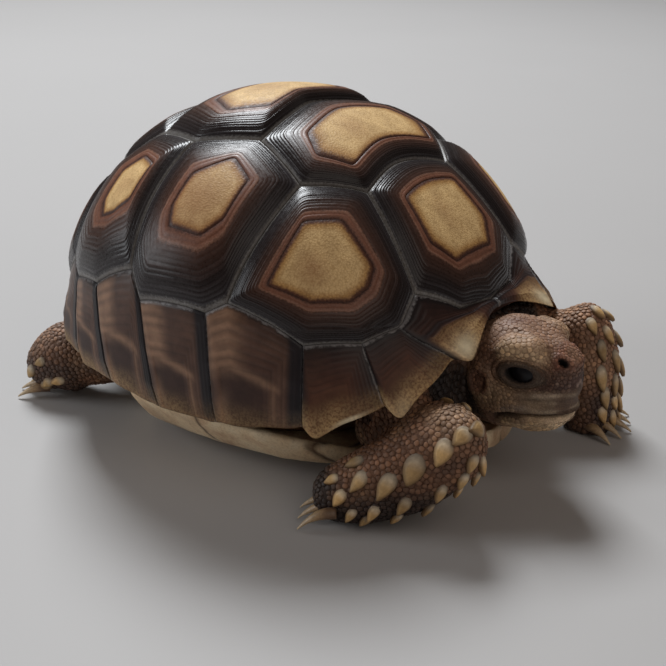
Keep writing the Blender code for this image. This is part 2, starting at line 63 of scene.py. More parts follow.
# The animal is laid out in half shell lengths as (forward, right, up) from the shell's middle.
body = {
    "halfLength": 0.041,        # metres, half of the straight shell
    "noseUp": 3.0,              # degrees
    "bellyLevel": -0.135,       # underside of the plastron
    "bellyRear": -0.50,         # front end of the stretch that rests on the floor
}
millimetre = 0.001 / body["halfLength"]
leanCos = math.cos(math.radians(body["noseUp"]))
leanSin = math.sin(math.radians(body["noseUp"]))
floorDrop = -(body["bellyLevel"] * leanCos + body["bellyRear"] * leanSin)

# The plastron's front end gives how far the frame shifts the animal along Y
throat = {"forward": 0.860, "up": -0.098}
throatAhead = throat["forward"] * leanCos - throat["up"] * leanSin
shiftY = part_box("plastron")[0].y + throatAhead * body["halfLength"]


def toWorld(places):
    places = np.atleast_2d(np.asarray(places, dtype=float))
    ahead = places[:, 0] * leanCos - places[:, 2] * leanSin
    height = places[:, 2] * leanCos + places[:, 0] * leanSin + floorDrop
    world = np.empty_like(places)
    world[:, 0] = -places[:, 1] * body["halfLength"]
    world[:, 1] = shiftY - ahead * body["halfLength"]
    world[:, 2] = np.maximum(height, 0.0) * body["halfLength"]
    return world


def smooth(low, high, value):
    share = np.clip((value - low) / (high - low), 0.0, 1.0)
    return share * share * (3.0 - 2.0 * share)


def bump(value, middle, width):
    return np.exp(-((value - middle) / width) ** 2)


# Smooth repeatable waviness, from a few sines of each coordinate
def waves(points, scale, seed):
    draw = np.random.default_rng(seed)
    total = np.zeros(len(points))
    for _ in range(6):
        direction = draw.normal(size=points.shape[1])
        direction *= scale / np.linalg.norm(direction) * draw.uniform(0.6, 1.6)
        total += np.sin(points @ direction + draw.uniform(0.0, 6.28))
    return total / 6.0


# Rounds a row of values or points off, with its two ends held
def evenOut(values, rounds):
    for _ in range(rounds):
        values[1:-1] = values[1:-1] * 0.5 + (values[:-2] + values[2:]) * 0.25


def circle(count):
    return np.linspace(0.0, 2.0 * math.pi, count, endpoint=False)


def onDisc(radius, angle):
    return np.column_stack((radius * np.cos(angle), radius * np.sin(angle)))


def addObject(name, data):
    made = bpy.data.objects.new(name, data)
    bpy.context.scene.collection.objects.link(made)
    return made


def newMesh(name, verts, faces, finish, flat=False):
    mesh = bpy.data.meshes.new(name)
    mesh.from_pydata([tuple(v) for v in verts], [], [tuple(int(i) for i in f) for f in faces])
    mesh.update()
    if not flat:
        mesh.shade_smooth()
    mesh.materials.append(finish)
    return addObject(name, mesh)


def giveValue(piece, name, values):
    attribute = piece.data.attributes.new(name, "FLOAT", "POINT")
    attribute.data.foreach_set("value", np.asarray(values, dtype=np.float32))


# Small helpers that build node materials
def newFinish(name, roughness, specular=0.5):
    finish = bpy.data.materials.new(name)
    finish.use_nodes = True
    shader = finish.node_tree.nodes["Principled BSDF"]
    shader.inputs["Roughness"].default_value = roughness
    shader.inputs["Specular IOR Level"].default_value = specular
    return finish, finish.node_tree, shader


def addNode(tree, kind, **sockets):
    node = tree.nodes.new(kind)
    for name, value in sockets.items():
        node.inputs[name.replace("_", " ")].default_value = value
    return node


def mathNode(tree, operation, first, second):
    node = tree.nodes.new("ShaderNodeMath")
    node.operation = operation
    for socket, value in zip(node.inputs, (first, second)):
        if isinstance(value, (int, float)):
            socket.default_value = value
        else:
            tree.links.new(value, socket)
    return node.outputs[0]


def rampNode(tree, factor, stops):
    node = tree.nodes.new("ShaderNodeValToRGB")
    ramp = node.color_ramp
    while len(ramp.elements) < len(stops):
        ramp.elements.new(0.5)
    for element, (place, color) in zip(ramp.elements, stops):
        element.position = place
        element.color = (*color, 1.0)
    tree.links.new(factor, node.inputs[0])
    return node.outputs[0]


def mixNode(tree, factor, first, second, blend="MIX"):
    node = tree.nodes.new("ShaderNodeMix")
    node.data_type = "RGBA"
    node.blend_type = blend
    pairs = ((node.inputs[0], factor), (node.inputs[6], first), (node.inputs[7], second))
    for socket, value in pairs:
        if isinstance(value, (int, float)):
            socket.default_value = value
        elif isinstance(value, tuple):
            socket.default_value = (*value, 1.0)
        else:
            tree.links.new(value, socket)
    return node.outputs[2]


def valueNode(tree, name):
    node = tree.nodes.new("ShaderNodeAttribute")
    node.attribute_name = name
    return node.outputs["Fac"]


def placeNode(tree):
    return tree.nodes.new("ShaderNodeTexCoord").outputs["Object"]


def noiseNode(tree, scale, detail=3.0, roughness=0.6):
    node = addNode(tree, "ShaderNodeTexNoise", Scale=scale, Detail=detail, Roughness=roughness)
    tree.links.new(placeNode(tree), node.inputs["Vector"])
    return node.outputs["Fac"]


def cellNode(tree, scale):
    node = tree.nodes.new("ShaderNodeTexVoronoi")
    node.inputs["Scale"].default_value = scale
    tree.links.new(placeNode(tree), node.inputs["Vector"])
    return node.outputs["Distance"]


# Lays a noise's two tones over a colour
def cloudNode(tree, factor, base, scale, detail, *stops):
    cloud = rampNode(tree, noiseNode(tree, scale, detail), stops)
    return mixNode(tree, factor, base, cloud, "MULTIPLY")


def greyRamp(tree, factor, *stops):
    return rampNode(tree, factor, [(place, (value,) * 3) for place, value in stops])


def markingNode(tree):
    node = tree.nodes.new("ShaderNodeAttribute")
    node.attribute_name = "marking"
    return node.outputs["Color"]


def bumpNode(tree, height, distance, strength=1.0, below=None):
    node = addNode(tree, "ShaderNodeBump", Distance=distance, Strength=strength)
    tree.links.new(height, node.inputs["Height"])
    if below is not None:
        tree.links.new(below, node.inputs["Normal"])
    return node.outputs["Normal"]


shellColors = {
    "tan": (0.74, 0.52, 0.262),
    "tanDeep": (0.46, 0.26, 0.095),
    "spot": (0.26, 0.10, 0.035),
    "edge": (0.110, 0.042, 0.022),
    "border": (0.045, 0.015, 0.010),
    "redBand": (0.185, 0.078, 0.050),
    "redLine": (0.235, 0.120, 0.085),
    "redDark": (0.060, 0.026, 0.018),
    "brown": (0.040, 0.019, 0.014),
    "black": (0.010, 0.0060, 0.0060),
    "seam": (0.185, 0.182, 0.188),
}


def scuteFinish():
    finish, tree, shader = newFinish("scute_horn", 0.36, 0.28)
    colors = shellColors
    growth = valueNode(tree, "growth")
    ragged = mathNode(tree, "SUBTRACT", mathNode(tree, "MULTIPLY", noiseNode(tree, 2900.0, 2.0), 0.050),
                      0.025)
    place = mathNode(tree, "ADD", growth, ragged)
    stops = [(0.0, colors["tan"]), (0.36, colors["tan"]), (0.440, colors["tanDeep"]),
             (0.480, colors["edge"]), (0.508, colors["border"]), (0.538, colors["redBand"]),
             (0.580, colors["redBand"]), (0.598, colors["redLine"]), (0.625, colors["redDark"]),
             (0.70, colors["brown"]), (0.82, colors["black"]), (0.955, colors["black"]),
             (0.985, colors["seam"]), (1.0, colors["seam"])]
    base = rampNode(tree, place, stops)
    granules = cellNode(tree, 3500.0)
    speckle = rampNode(tree, granules, [(0.10, (1.12, 1.12, 1.10)), (0.45, (0.95, 0.92, 0.86)),
                                        (0.85, (0.62, 0.53, 0.40))])
    grainy = mixNode(tree, 0.60, base, speckle, "MULTIPLY")
    clouded = cloudNode(tree, 0.7, grainy, 420.0, 3.0, (0.30, (0.76, 0.70, 0.62)), (0.65, (1.12, 1.09, 1.02)))
    # crests of the growth ridges are screened lighter: brown wear on the inner rings, a bluish-grey painted
    # highlight on the outer rings by the seams
    crest = mathNode(tree, "MULTIPLY", valueNode(tree, "crest"), 0.60)
    wearAndSheen = rampNode(tree, growth, [(0.60, (0.085, 0.050, 0.040)), (0.80, (0.058, 0.040, 0.038)),
                                   (0.95, (0.075, 0.074, 0.082))])
    wornAndSheen = mixNode(tree, crest, clouded, wearAndSheen, "SCREEN")
    spotted = mixNode(tree, valueNode(tree, "spot"), wornAndSheen, colors["spot"])
    tree.links.new(spotted, shader.inputs["Base Color"])
    inCentre = greyRamp(tree, growth, (0.0, 1.0), (0.46, 1.0), (0.54, 0.06))
    knobs = bumpNode(tree, mathNode(tree, "MULTIPLY", granules, inCentre), 0.00008, 0.45)
    fine = noiseNode(tree, 9000.0, 2.0)
    tree.links.new(bumpNode(tree, fine, 0.000008, 0.30, knobs), shader.inputs["Normal"])
    rough = greyRamp(tree, growth, (0.0, 0.58), (0.48, 0.52), (0.60, 0.34), (0.97, 0.23), (1.0, 0.50))
    scratched = greyRamp(tree, noiseNode(tree, 1800.0, 4.0), (0.35, 0.8), (0.65, 1.25))
    tree.links.new(mixNode(tree, 1.0, rough, scratched, "MULTIPLY"), shader.inputs["Roughness"])
    return finish


def marginalFinish():
    finish, tree, shader = newFinish("rim_horn", 0.4, 0.27)
    growth = valueNode(tree, "growth")
    ragged = mathNode(tree, "SUBTRACT", mathNode(tree, "MULTIPLY", noiseNode(tree, 1500.0, 3.0), 0.16), 0.08)
    place = mathNode(tree, "ADD", growth, ragged)
    red = rampNode(tree, place, [(0.0, (0.088, 0.036, 0.019)), (0.20, (0.070, 0.027, 0.016)),
                                 (0.45, (0.047, 0.020, 0.014)), (0.80, (0.024, 0.012, 0.011)),
                                 (0.930, (0.012, 0.009, 0.010)), (0.975, shellColors["seam"])])
    plain = rampNode(tree, place, [(0.0, (0.045, 0.023, 0.018)), (0.15, (0.068, 0.035, 0.025)),
                                   (0.60, (0.095, 0.052, 0.037)), (0.90, (0.070, 0.040, 0.030)),
                                   (0.950, (0.035, 0.024, 0.021)), (0.985, shellColors["seam"])])
    base = mixNode(tree, valueNode(tree, "plainness"), red, plain)
    paleSkin = mixNode(tree, valueNode(tree, "pale"), base, (0.34, 0.205, 0.130))
    band = mixNode(tree, valueNode(tree, "dark"), paleSkin, (0.010, 0.009, 0.012))
    tan = rampNode(tree, noiseNode(tree, 3000.0, 3.0),
                   [(0.36, (0.22, 0.115, 0.050)), (0.58, (0.50, 0.335, 0.155))])
    tipped = mixNode(tree, valueNode(tree, "tipTan"), band, tan)
    creamy = mixNode(tree, valueNode(tree, "cream"), tipped, (0.66, 0.57, 0.39))
    line = rampNode(tree, valueNode(tree, "crest"), [(0.0, (0.66, 0.62, 0.60)), (0.5, (1.0, 1.0, 1.0)),
                                                     (1.0, (1.25, 1.2, 1.18))])
    lined = mixNode(tree, 0.8, creamy, line, "MULTIPLY")
    clouded = cloudNode(tree, 0.8, lined, 500.0, 3.0, (0.30, (0.74, 0.70, 0.68)), (0.68, (1.18, 1.14, 1.10)))
    tree.links.new(clouded, shader.inputs["Base Color"])
    fine = noiseNode(tree, 9000.0, 2.0)
    tree.links.new(bumpNode(tree, fine, 0.00003, 0.35), shader.inputs["Normal"])
    rough = greyRamp(tree, growth, (0.0, 0.52), (0.8, 0.36), (0.97, 0.32), (1.0, 0.55))
    tree.links.new(rough, shader.inputs["Roughness"])
    return finish


def bedFinish():
    finish, tree, shader = newFinish("seam_bed", 0.6, 0.3)
    tone = rampNode(tree, noiseNode(tree, 2500.0), [(0.3, (0.05, 0.043, 0.040)), (0.7, (0.16, 0.14, 0.125))])
    tree.links.new(tone, shader.inputs["Base Color"])
    return finish


# The smooth shell under the scutes. Its dome, width and shoulder sizes, the rim's reach at the side
# and its height at the front come from a least-squares match made outside this script, rounded.
shellForm = {
    "domeHeight": 1.095, "domePower": 2.08, "apexShift": -0.122,
    "outlinePower": 2.25, "widthRatio": 0.85, "shoulder": 0.77,
    "shoulderReach": (0.793, 1.0, 0.924),
    "shoulderHeight": (0.466, 0.521, 0.385),
    "shoulderSteepness": (54.9, 84.7, 69.1),
    "rimReach": (1.0, 0.991, 1.0),
    "rimHeight": (0.355, 0.145, 0.285),
    "rimRisePower": (3.5, 1.2),
    "rimFlare": 1.3,
    "neckNotch": 0.155, "neckNotchAngle": 25.0,
}


def around(angle, values):
    front, side, rear = values
    frontShare = np.maximum(np.cos(angle), 0.0) ** 2
    rearShare = np.maximum(-np.cos(angle), 0.0) ** 2
    return front * frontShare + rear * rearShare + side * (1.0 - frontShare - rearShare)


def rimHeight(angle):
    front, side, rear = shellForm["rimHeight"]
    frontPower, rearPower = shellForm["rimRisePower"]
    rise = (front - side) * np.maximum(np.cos(angle), 0.0) ** frontPower
    return side + rise + (rear - side) * np.maximum(-np.cos(angle), 0.0) ** rearPower


def outline(angle):
    power = shellForm["outlinePower"]
    along = np.abs(np.cos(angle)) ** power
    across = (np.abs(np.sin(angle)) / shellForm["widthRatio"]) ** power
    return (along + across) ** (-1.0 / power)


def dome(disc):
    disc = np.atleast_2d(np.asarray(disc, dtype=float))
    radius = np.hypot(disc[:, 0], disc[:, 1])
    angle = np.arctan2(disc[:, 1], disc[:, 0])
    shoulder = shellForm["shoulder"]
    inner = np.minimum(radius / shoulder, 1.0)
    outer = np.maximum((radius - shoulder) / (1.0 - shoulder), 0.0)
    steepness = np.radians(around(angle, shellForm["shoulderSteepness"]))
    power = 2.0 / shellForm["domePower"]
    foot = np.cos(steepness) ** power
    arch = np.cos(inner * steepness) ** power
    shoulderOut = outline(angle) * around(angle, shellForm["shoulderReach"])
    rimOut = outline(angle) * around(angle, shellForm["rimReach"])
    shoulderUp = around(angle, shellForm["shoulderHeight"])
    reach = shoulderOut * np.sin(inner * steepness) / np.sin(steepness)
    reach += (rimOut - shoulderOut) * outer ** shellForm["rimFlare"]
    height = shoulderUp + (shellForm["domeHeight"] - shoulderUp) * (arch - foot) / (1.0 - foot)
    height += (rimHeight(angle) - shoulderUp) * outer
    return np.column_stack((reach * np.cos(angle) + shellForm["apexShift"] * (1.0 - inner),
                            reach * np.sin(angle), height))


# Points at a height over the smooth shell, along its outward direction
def shellPoints(disc, lift):
    disc = np.atleast_2d(np.asarray(disc, dtype=float))
    step = 0.002
    along = dome(disc + (step, 0.0)) - dome(disc - (step, 0.0))
    across = dome(disc + (0.0, step)) - dome(disc - (0.0, step))
    outward = np.cross(along, across)
    outward /= np.linalg.norm(outward, axis=1)[:, None]
    return dome(disc) + outward * np.asarray(lift).reshape(-1, 1)


# Scute corners on the disc (forward, right). The first four of spineCorners, the first eight of
# rimCorners and the first three seams on the spine come from the same match. They don't follow
# from shellForm, so they have to be moved by hand when it changes.
spineCorners = ((0.644, 0.315), (0.415, 0.216), (0.270, 0.328), (0.110, 0.245), (-0.050, 0.285),
                (-0.200, 0.220), (-0.350, 0.270), (-0.500, 0.180), (-0.720, 0.260),
                (-0.768, 0.135))
neckCorner = (0.755, 0.170)
rimCorners = ((0.644, 0.315), (0.658, 0.428), (0.606, 0.546), (0.466, 0.666), (0.230, 0.687),
              (0.170, 0.737), (-0.079, 0.754), (-0.106, 0.672), (-0.289, 0.681),
              (-0.425, 0.606), (-0.459, 0.528), (-0.582, 0.489), (-0.682, 0.378),
              (-0.708, 0.315), (-0.720, 0.260), (-0.768, 0.135))
spineFront, spineRear = 0.800, -0.780

# Right half of each vertebral's pale centre, corner for corner with its outline.
# spot is the darker mark in the pale centre: its place and size.
vertebrals = (
    {"rise": 1.2, "centre": ((0.676, 0.0), (0.672, 0.112), (0.602, 0.172), (0.494, 0.142)),
     "spot": (0.575, 0.020, 0.040, 0.30), "rings": 8},
    {"rise": 1.3, "centre": ((0.350, 0.203), (0.262, 0.243), (0.205, 0.188)),
     "spot": (0.285, 0.060, 0.050, 0.35), "rings": 8},
    {"rise": 1.8, "centre": ((0.072, 0.140), (-0.005, 0.190), (-0.085, 0.125)),
     "spot": (-0.010, 0.020, 0.050, 0.35), "rings": 9},
    {"rise": 1.5, "centre": ((-0.262, 0.115), (-0.335, 0.150), (-0.410, 0.105)),
     "spot": (-0.340, 0.030, 0.045, 0.45), "rings": 9},
    {"rise": 1.1, "centre": ((-0.572, 0.085), (-0.655, 0.120), (-0.672, 0.060), (-0.676, 0.0)),
     "spot": (-0.620, 0.020, 0.040, 0.5), "rings": 8},
)
# Six corners of the first costal's pale centre, four of the second's and two of the third's were
# worked out by another program from that match.
costals = (
    {"rise": 1.6, "centre": ((0.522, 0.392), (0.534, 0.440), (0.515, 0.502), (0.432, 0.571),
                             (0.322, 0.597), (0.328, 0.425), (0.401, 0.362)),
     "spot": (0.400, 0.505, 0.036, 0.55), "rings": 9},
    {"rise": 1.3, "centre": ((0.162, 0.387), (0.156, 0.500), (0.117, 0.556), (0.027, 0.552),
                             (0.016, 0.500), (0.030, 0.410), (0.100, 0.340)),
     "spot": (0.070, 0.475, 0.105, 0.62), "rings": 9},
    {"rise": 1.2, "centre": ((-0.110, 0.385), (-0.135, 0.485), (-0.190, 0.515), (-0.236, 0.514),
                             (-0.250, 0.465), (-0.218, 0.380), (-0.155, 0.352)),
     "spot": (-0.180, 0.440, 0.035, 0.3), "rings": 9},
    {"rise": 1.0, "centre": ((-0.440, 0.350), (-0.478, 0.430), (-0.530, 0.425), (-0.575, 0.375),
                             (-0.585, 0.315), (-0.500, 0.290)),
     "spot": (-0.520, 0.370, 0.035, 0.3), "rings": 8},
)
scuteMesh = {"along": 126, "growthRows": 88, "centreRows": 10, "seamWidth": 0.05,
             "thickness": 0.9, "ridge": 0.115, "seamDrop": 0.13, "moreRings": 4, "crowding": 1.3}


def insetPolygon(corners, distance):
    points = np.array(corners, dtype=float)
    middle = points.mean(axis=0)
    following = np.roll(points, -1, axis=0)
    along = (following - points) / np.linalg.norm(following - points, axis=1)[:, None]
    inward = np.column_stack((-along[:, 1], along[:, 0]))
    inward[((middle - points) * inward).sum(axis=1) < 0.0] *= -1.0
    base = points + inward * distance
    moved = []
    for i in range(len(points)):
        before = i - 1
        matrix = np.column_stack((along[before], -along[i]))
        reach = np.linalg.solve(matrix, base[i] - base[before])[0]
        moved.append(base[before] + along[before] * reach)
    return np.array(moved)


# Points along two polygons that match corner for corner
def walkPair(outer, inner, count):
    lengths = np.linalg.norm(np.roll(outer, -1, axis=0) - outer, axis=1)
    counts = np.maximum(np.round(lengths / lengths.sum() * count).astype(int), 5)
    outerWalk, innerWalk = [], []
    for i, steps in enumerate(counts):
        share = (np.arange(steps) / steps)[:, None]
        j = (i + 1) % len(outer)
        outerWalk.append(outer[i] + (outer[j] - outer[i]) * share)
        innerWalk.append(inner[i] + (inner[j] - inner[i]) * share)
    return np.concatenate(outerWalk), np.concatenate(innerWalk)


def soften(loop, rounds):
    for _ in range(rounds):
        loop = loop * 0.5 + (np.roll(loop, 1, axis=0) + np.roll(loop, -1, axis=0)) * 0.25
    return loop


def ringFaces(rows, count, startMiddle, endMiddle):
    faces = []
    for row in range(rows - 1):
        for i in range(count):
            j = (i + 1) % count
            faces.append((row * count + i, row * count + j,
                          (row + 1) * count + j, (row + 1) * count + i))
    for i in range(count):
        j = (i + 1) % count
        faces.append((startMiddle, j, i))
        faces.append((endMiddle, (rows - 1) * count + i, (rows - 1) * count + j))
    return faces


def outwardFaces(piece):
    work = bmesh.new()
    work.from_mesh(piece.data)
    bmesh.ops.recalc_face_normals(work, faces=work.faces)
    work.to_mesh(piece.data)
    work.free()


def buildScute(name, corners, centre, facts, finish, seed):
    outer = insetPolygon(corners, scuteMesh["seamWidth"] / 2.0 * millimetre)
    outerWalk, innerWalk = walkPair(outer, np.array(centre), scuteMesh["along"])
    innerWalk = soften(innerWalk, 3)
    middle = innerWalk.mean(axis=0)
    count = len(outerWalk)
    rise = facts["rise"] * millimetre
    turn = circle(count)
    draw = np.random.default_rng(int(100 + seed * 10))
    ringCount = facts["rings"] + scuteMesh["moreRings"]
    strength = np.append(draw.uniform(0.35, 1.0, ringCount + 1), (0.5, 0.5))
    strength[0] = 1.0
    discs, lifts, growths, crests = [], [], [], []
    # pale centre, from its middle out
    for share in np.linspace(0.06, 1.0, scuteMesh["centreRows"], endpoint=False):
        discs.append(middle + (innerWalk - middle) * share)
        lifts.append(np.full(count, rise * (1.05 - 0.05 * share ** 2)))
        growths.append(np.full(count, 0.5 * share))
        crests.append(np.zeros(count))
    # growth rings down to the seam
    corner = soften(outerWalk, 3)
    for share in np.linspace(0.0, 1.0, scuteMesh["growthRows"]):
        target = corner + (outerWalk - corner) * smooth(0.8, 1.0, share)
        discs.append(innerWalk + (target - innerWalk) * share)
        wander = 0.18 * np.sin(turn * 3.0 + seed) + 0.10 * np.sin(turn * 7.0 + seed * 2.3)
        phase = np.maximum(share ** scuteMesh["crowding"] * ringCount + wander * share, 0.0)
        ring = np.minimum(phase.astype(int), ringCount + 1)
        within = phase - ring
        ridge = (np.sin(within * math.pi) ** 0.6) * (0.8 + 0.4 * (within - 0.5))
        patchy = 0.60 + 0.40 * np.sin(turn * 2.0 + seed * 1.7 + ring * 1.9) ** 2
        size = strength[ring] * patchy * (0.60 + 0.55 * share)
        drop = scuteMesh["seamDrop"] * smooth(0.94, 1.0, share) ** 1.5
        groove = 0.08 * bump(share, 0.02, 0.016)
        lifts.append(rise * (1.0 - share ** 2.4)
                     + (ridge * size * scuteMesh["ridge"] * smooth(0.02, 0.10, share) - drop - groove)
                     * millimetre)
        growths.append(np.full(count, 0.5 + 0.5 * share))
        crests.append(ridge * size * smooth(0.03, 0.2, share) * smooth(1.0, 0.95, share))
    under = -scuteMesh["thickness"] * millimetre
    for share in (1.0, 0.0):
        discs.append(innerWalk + (outerWalk - innerWalk) * share)
        lifts.append(np.full(count, under))
        growths.append(np.full(count, 1.0))
        crests.append(np.zeros(count))
    disc = np.concatenate(discs)
    lift = np.concatenate(lifts)
    growth = np.concatenate(growths)
    top = len(disc)
    disc = np.vstack((disc, middle, middle))
    lift = np.append(lift, (rise * 1.05, under))
    growth = np.append(growth, (0.0, 1.0))
    places = shellPoints(disc, lift)
    piece = newMesh(name, toWorld(places), ringFaces(len(discs), count, top, top + 1), finish)
    outwardFaces(piece)
    giveValue(piece, "growth", growth)
    giveValue(piece, "crest", np.append(np.concatenate(crests), (0.0, 0.0)))
    spotForward, spotRight, spotSize, spotDepth = facts["spot"]
    away = np.hypot(disc[:, 0] - spotForward, disc[:, 1] - spotRight)
    giveValue(piece, "spot", spotDepth * np.exp(-(away / spotSize) ** 2) * (growth < 0.5))
    return piece


# A half outline's points on the other side, in reverse order
def mirrored(points):
    return [(f, -r) for f, r in reversed(points)]


def spineOutline(index):
    if index == 0:
        right = [neckCorner, spineCorners[0], spineCorners[1]]
        return [(spineFront, 0.0)] + right + mirrored(right)
    first = 2 * index - 1
    right = list(spineCorners[first:first + 3])
    if index == 4:
        return right + [(spineRear, 0.0)] + mirrored(right)
    return right + mirrored(right)


def spineCentre(index):
    right = list(vertebrals[index]["centre"])
    if index == 0:
        return right + mirrored(right[1:])
    if index == 4:
        return right + mirrored(right[:3])
    return right + mirrored(right)


def costalOutlines():
    spine, rim = spineCorners, rimCorners
    return ([*rim[0:5], spine[2], spine[1]],
            [spine[2], *rim[4:8], spine[4], spine[3]],
            [spine[4], *rim[7:11], spine[6], spine[5]],
            [spine[6], *rim[10:13], spine[8], spine[7]])


def buildCarapace(finish):
    for index in range(5):
        name = f"vertebral_{index + 1}"
        piece = buildScute(f"{name}_horn", spineOutline(index), spineCentre(index),
                           vertebrals[index], finish, 1.3 * index)
        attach(piece, "root")
        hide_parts(name)
    for index, corners in enumerate(costalOutlines()):
        for side, sign in (("right", 1.0), ("left", -1.0)):
            name = f"costal_{side}_{index + 1}"
            facts = dict(costals[index])
            spotForward, spotRight, spotSize, spotDepth = facts["spot"]
            facts["spot"] = (spotForward, spotRight * sign, spotSize, spotDepth)
            piece = buildScute(f"{name}_horn", [(f, r * sign) for f, r in corners],
                               [(f, r * sign) for f, r in facts["centre"]],
                               facts, finish, 2.1 * index + sign)
            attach(piece, "root")
            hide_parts(name)


# Marginals; the first six angles are from the match too. Last corner of rimCorners each one
# reaches, rim angle where it ends, tip length, how tan its
# free edge is, how pale its upper rear corner is, how cream its tip is
marginals = ((1, 22.5, 0.050, 1.0, 0.0, 0.9), (2, 39.0, 0.045, 0.95, 0.0, 0.3),
             (3, 55.6, 0.030, 0.8, 0.05, 1.0), (5, 76.0, 0.0, 0.35, 0.80, 0.0),
             (6, 93.0, 0.0, 0.45, 0.95, 0.0), (8, 110.0, 0.0, 0.55, 1.0, 0.0),
             (9, 125.0, 0.020, 0.6, 0.9, 0.0), (11, 139.0, 0.035, 0.7, 0.6, 0.0),
             (12, 151.0, 0.040, 0.7, 0.4, 0.1), (13, 161.0, 0.040, 0.7, 0.3, 0.1),
             (15, 170.0, 0.030, 0.7, 0.2, 0.1))
marginalMesh = {"across": 64, "down": 56, "thickness": 1.1, "rise": 0.5, "ridge": 0.07,
                "lipWidth": 0.11, "lipRise": 0.02, "lipDrop": 0.035, "sag": 0.012,
                "fullLip": 0.20, "tipPlace": 0.86, "gap": 0.04, "rings": 8.0}


def rimRadius(angle):
    dip = np.exp(-(np.degrees(angle) / shellForm["neckNotchAngle"]) ** 2)
    return 1.0 - shellForm["neckNotch"] * dip


def chainPoints(chain, shares):
    lengths = np.linalg.norm(np.diff(chain, axis=0), axis=1)
    marks = np.concatenate(([0.0], np.cumsum(lengths))) / lengths.sum()
    return np.column_stack([np.interp(shares, marks, chain[:, k]) for k in range(2)])


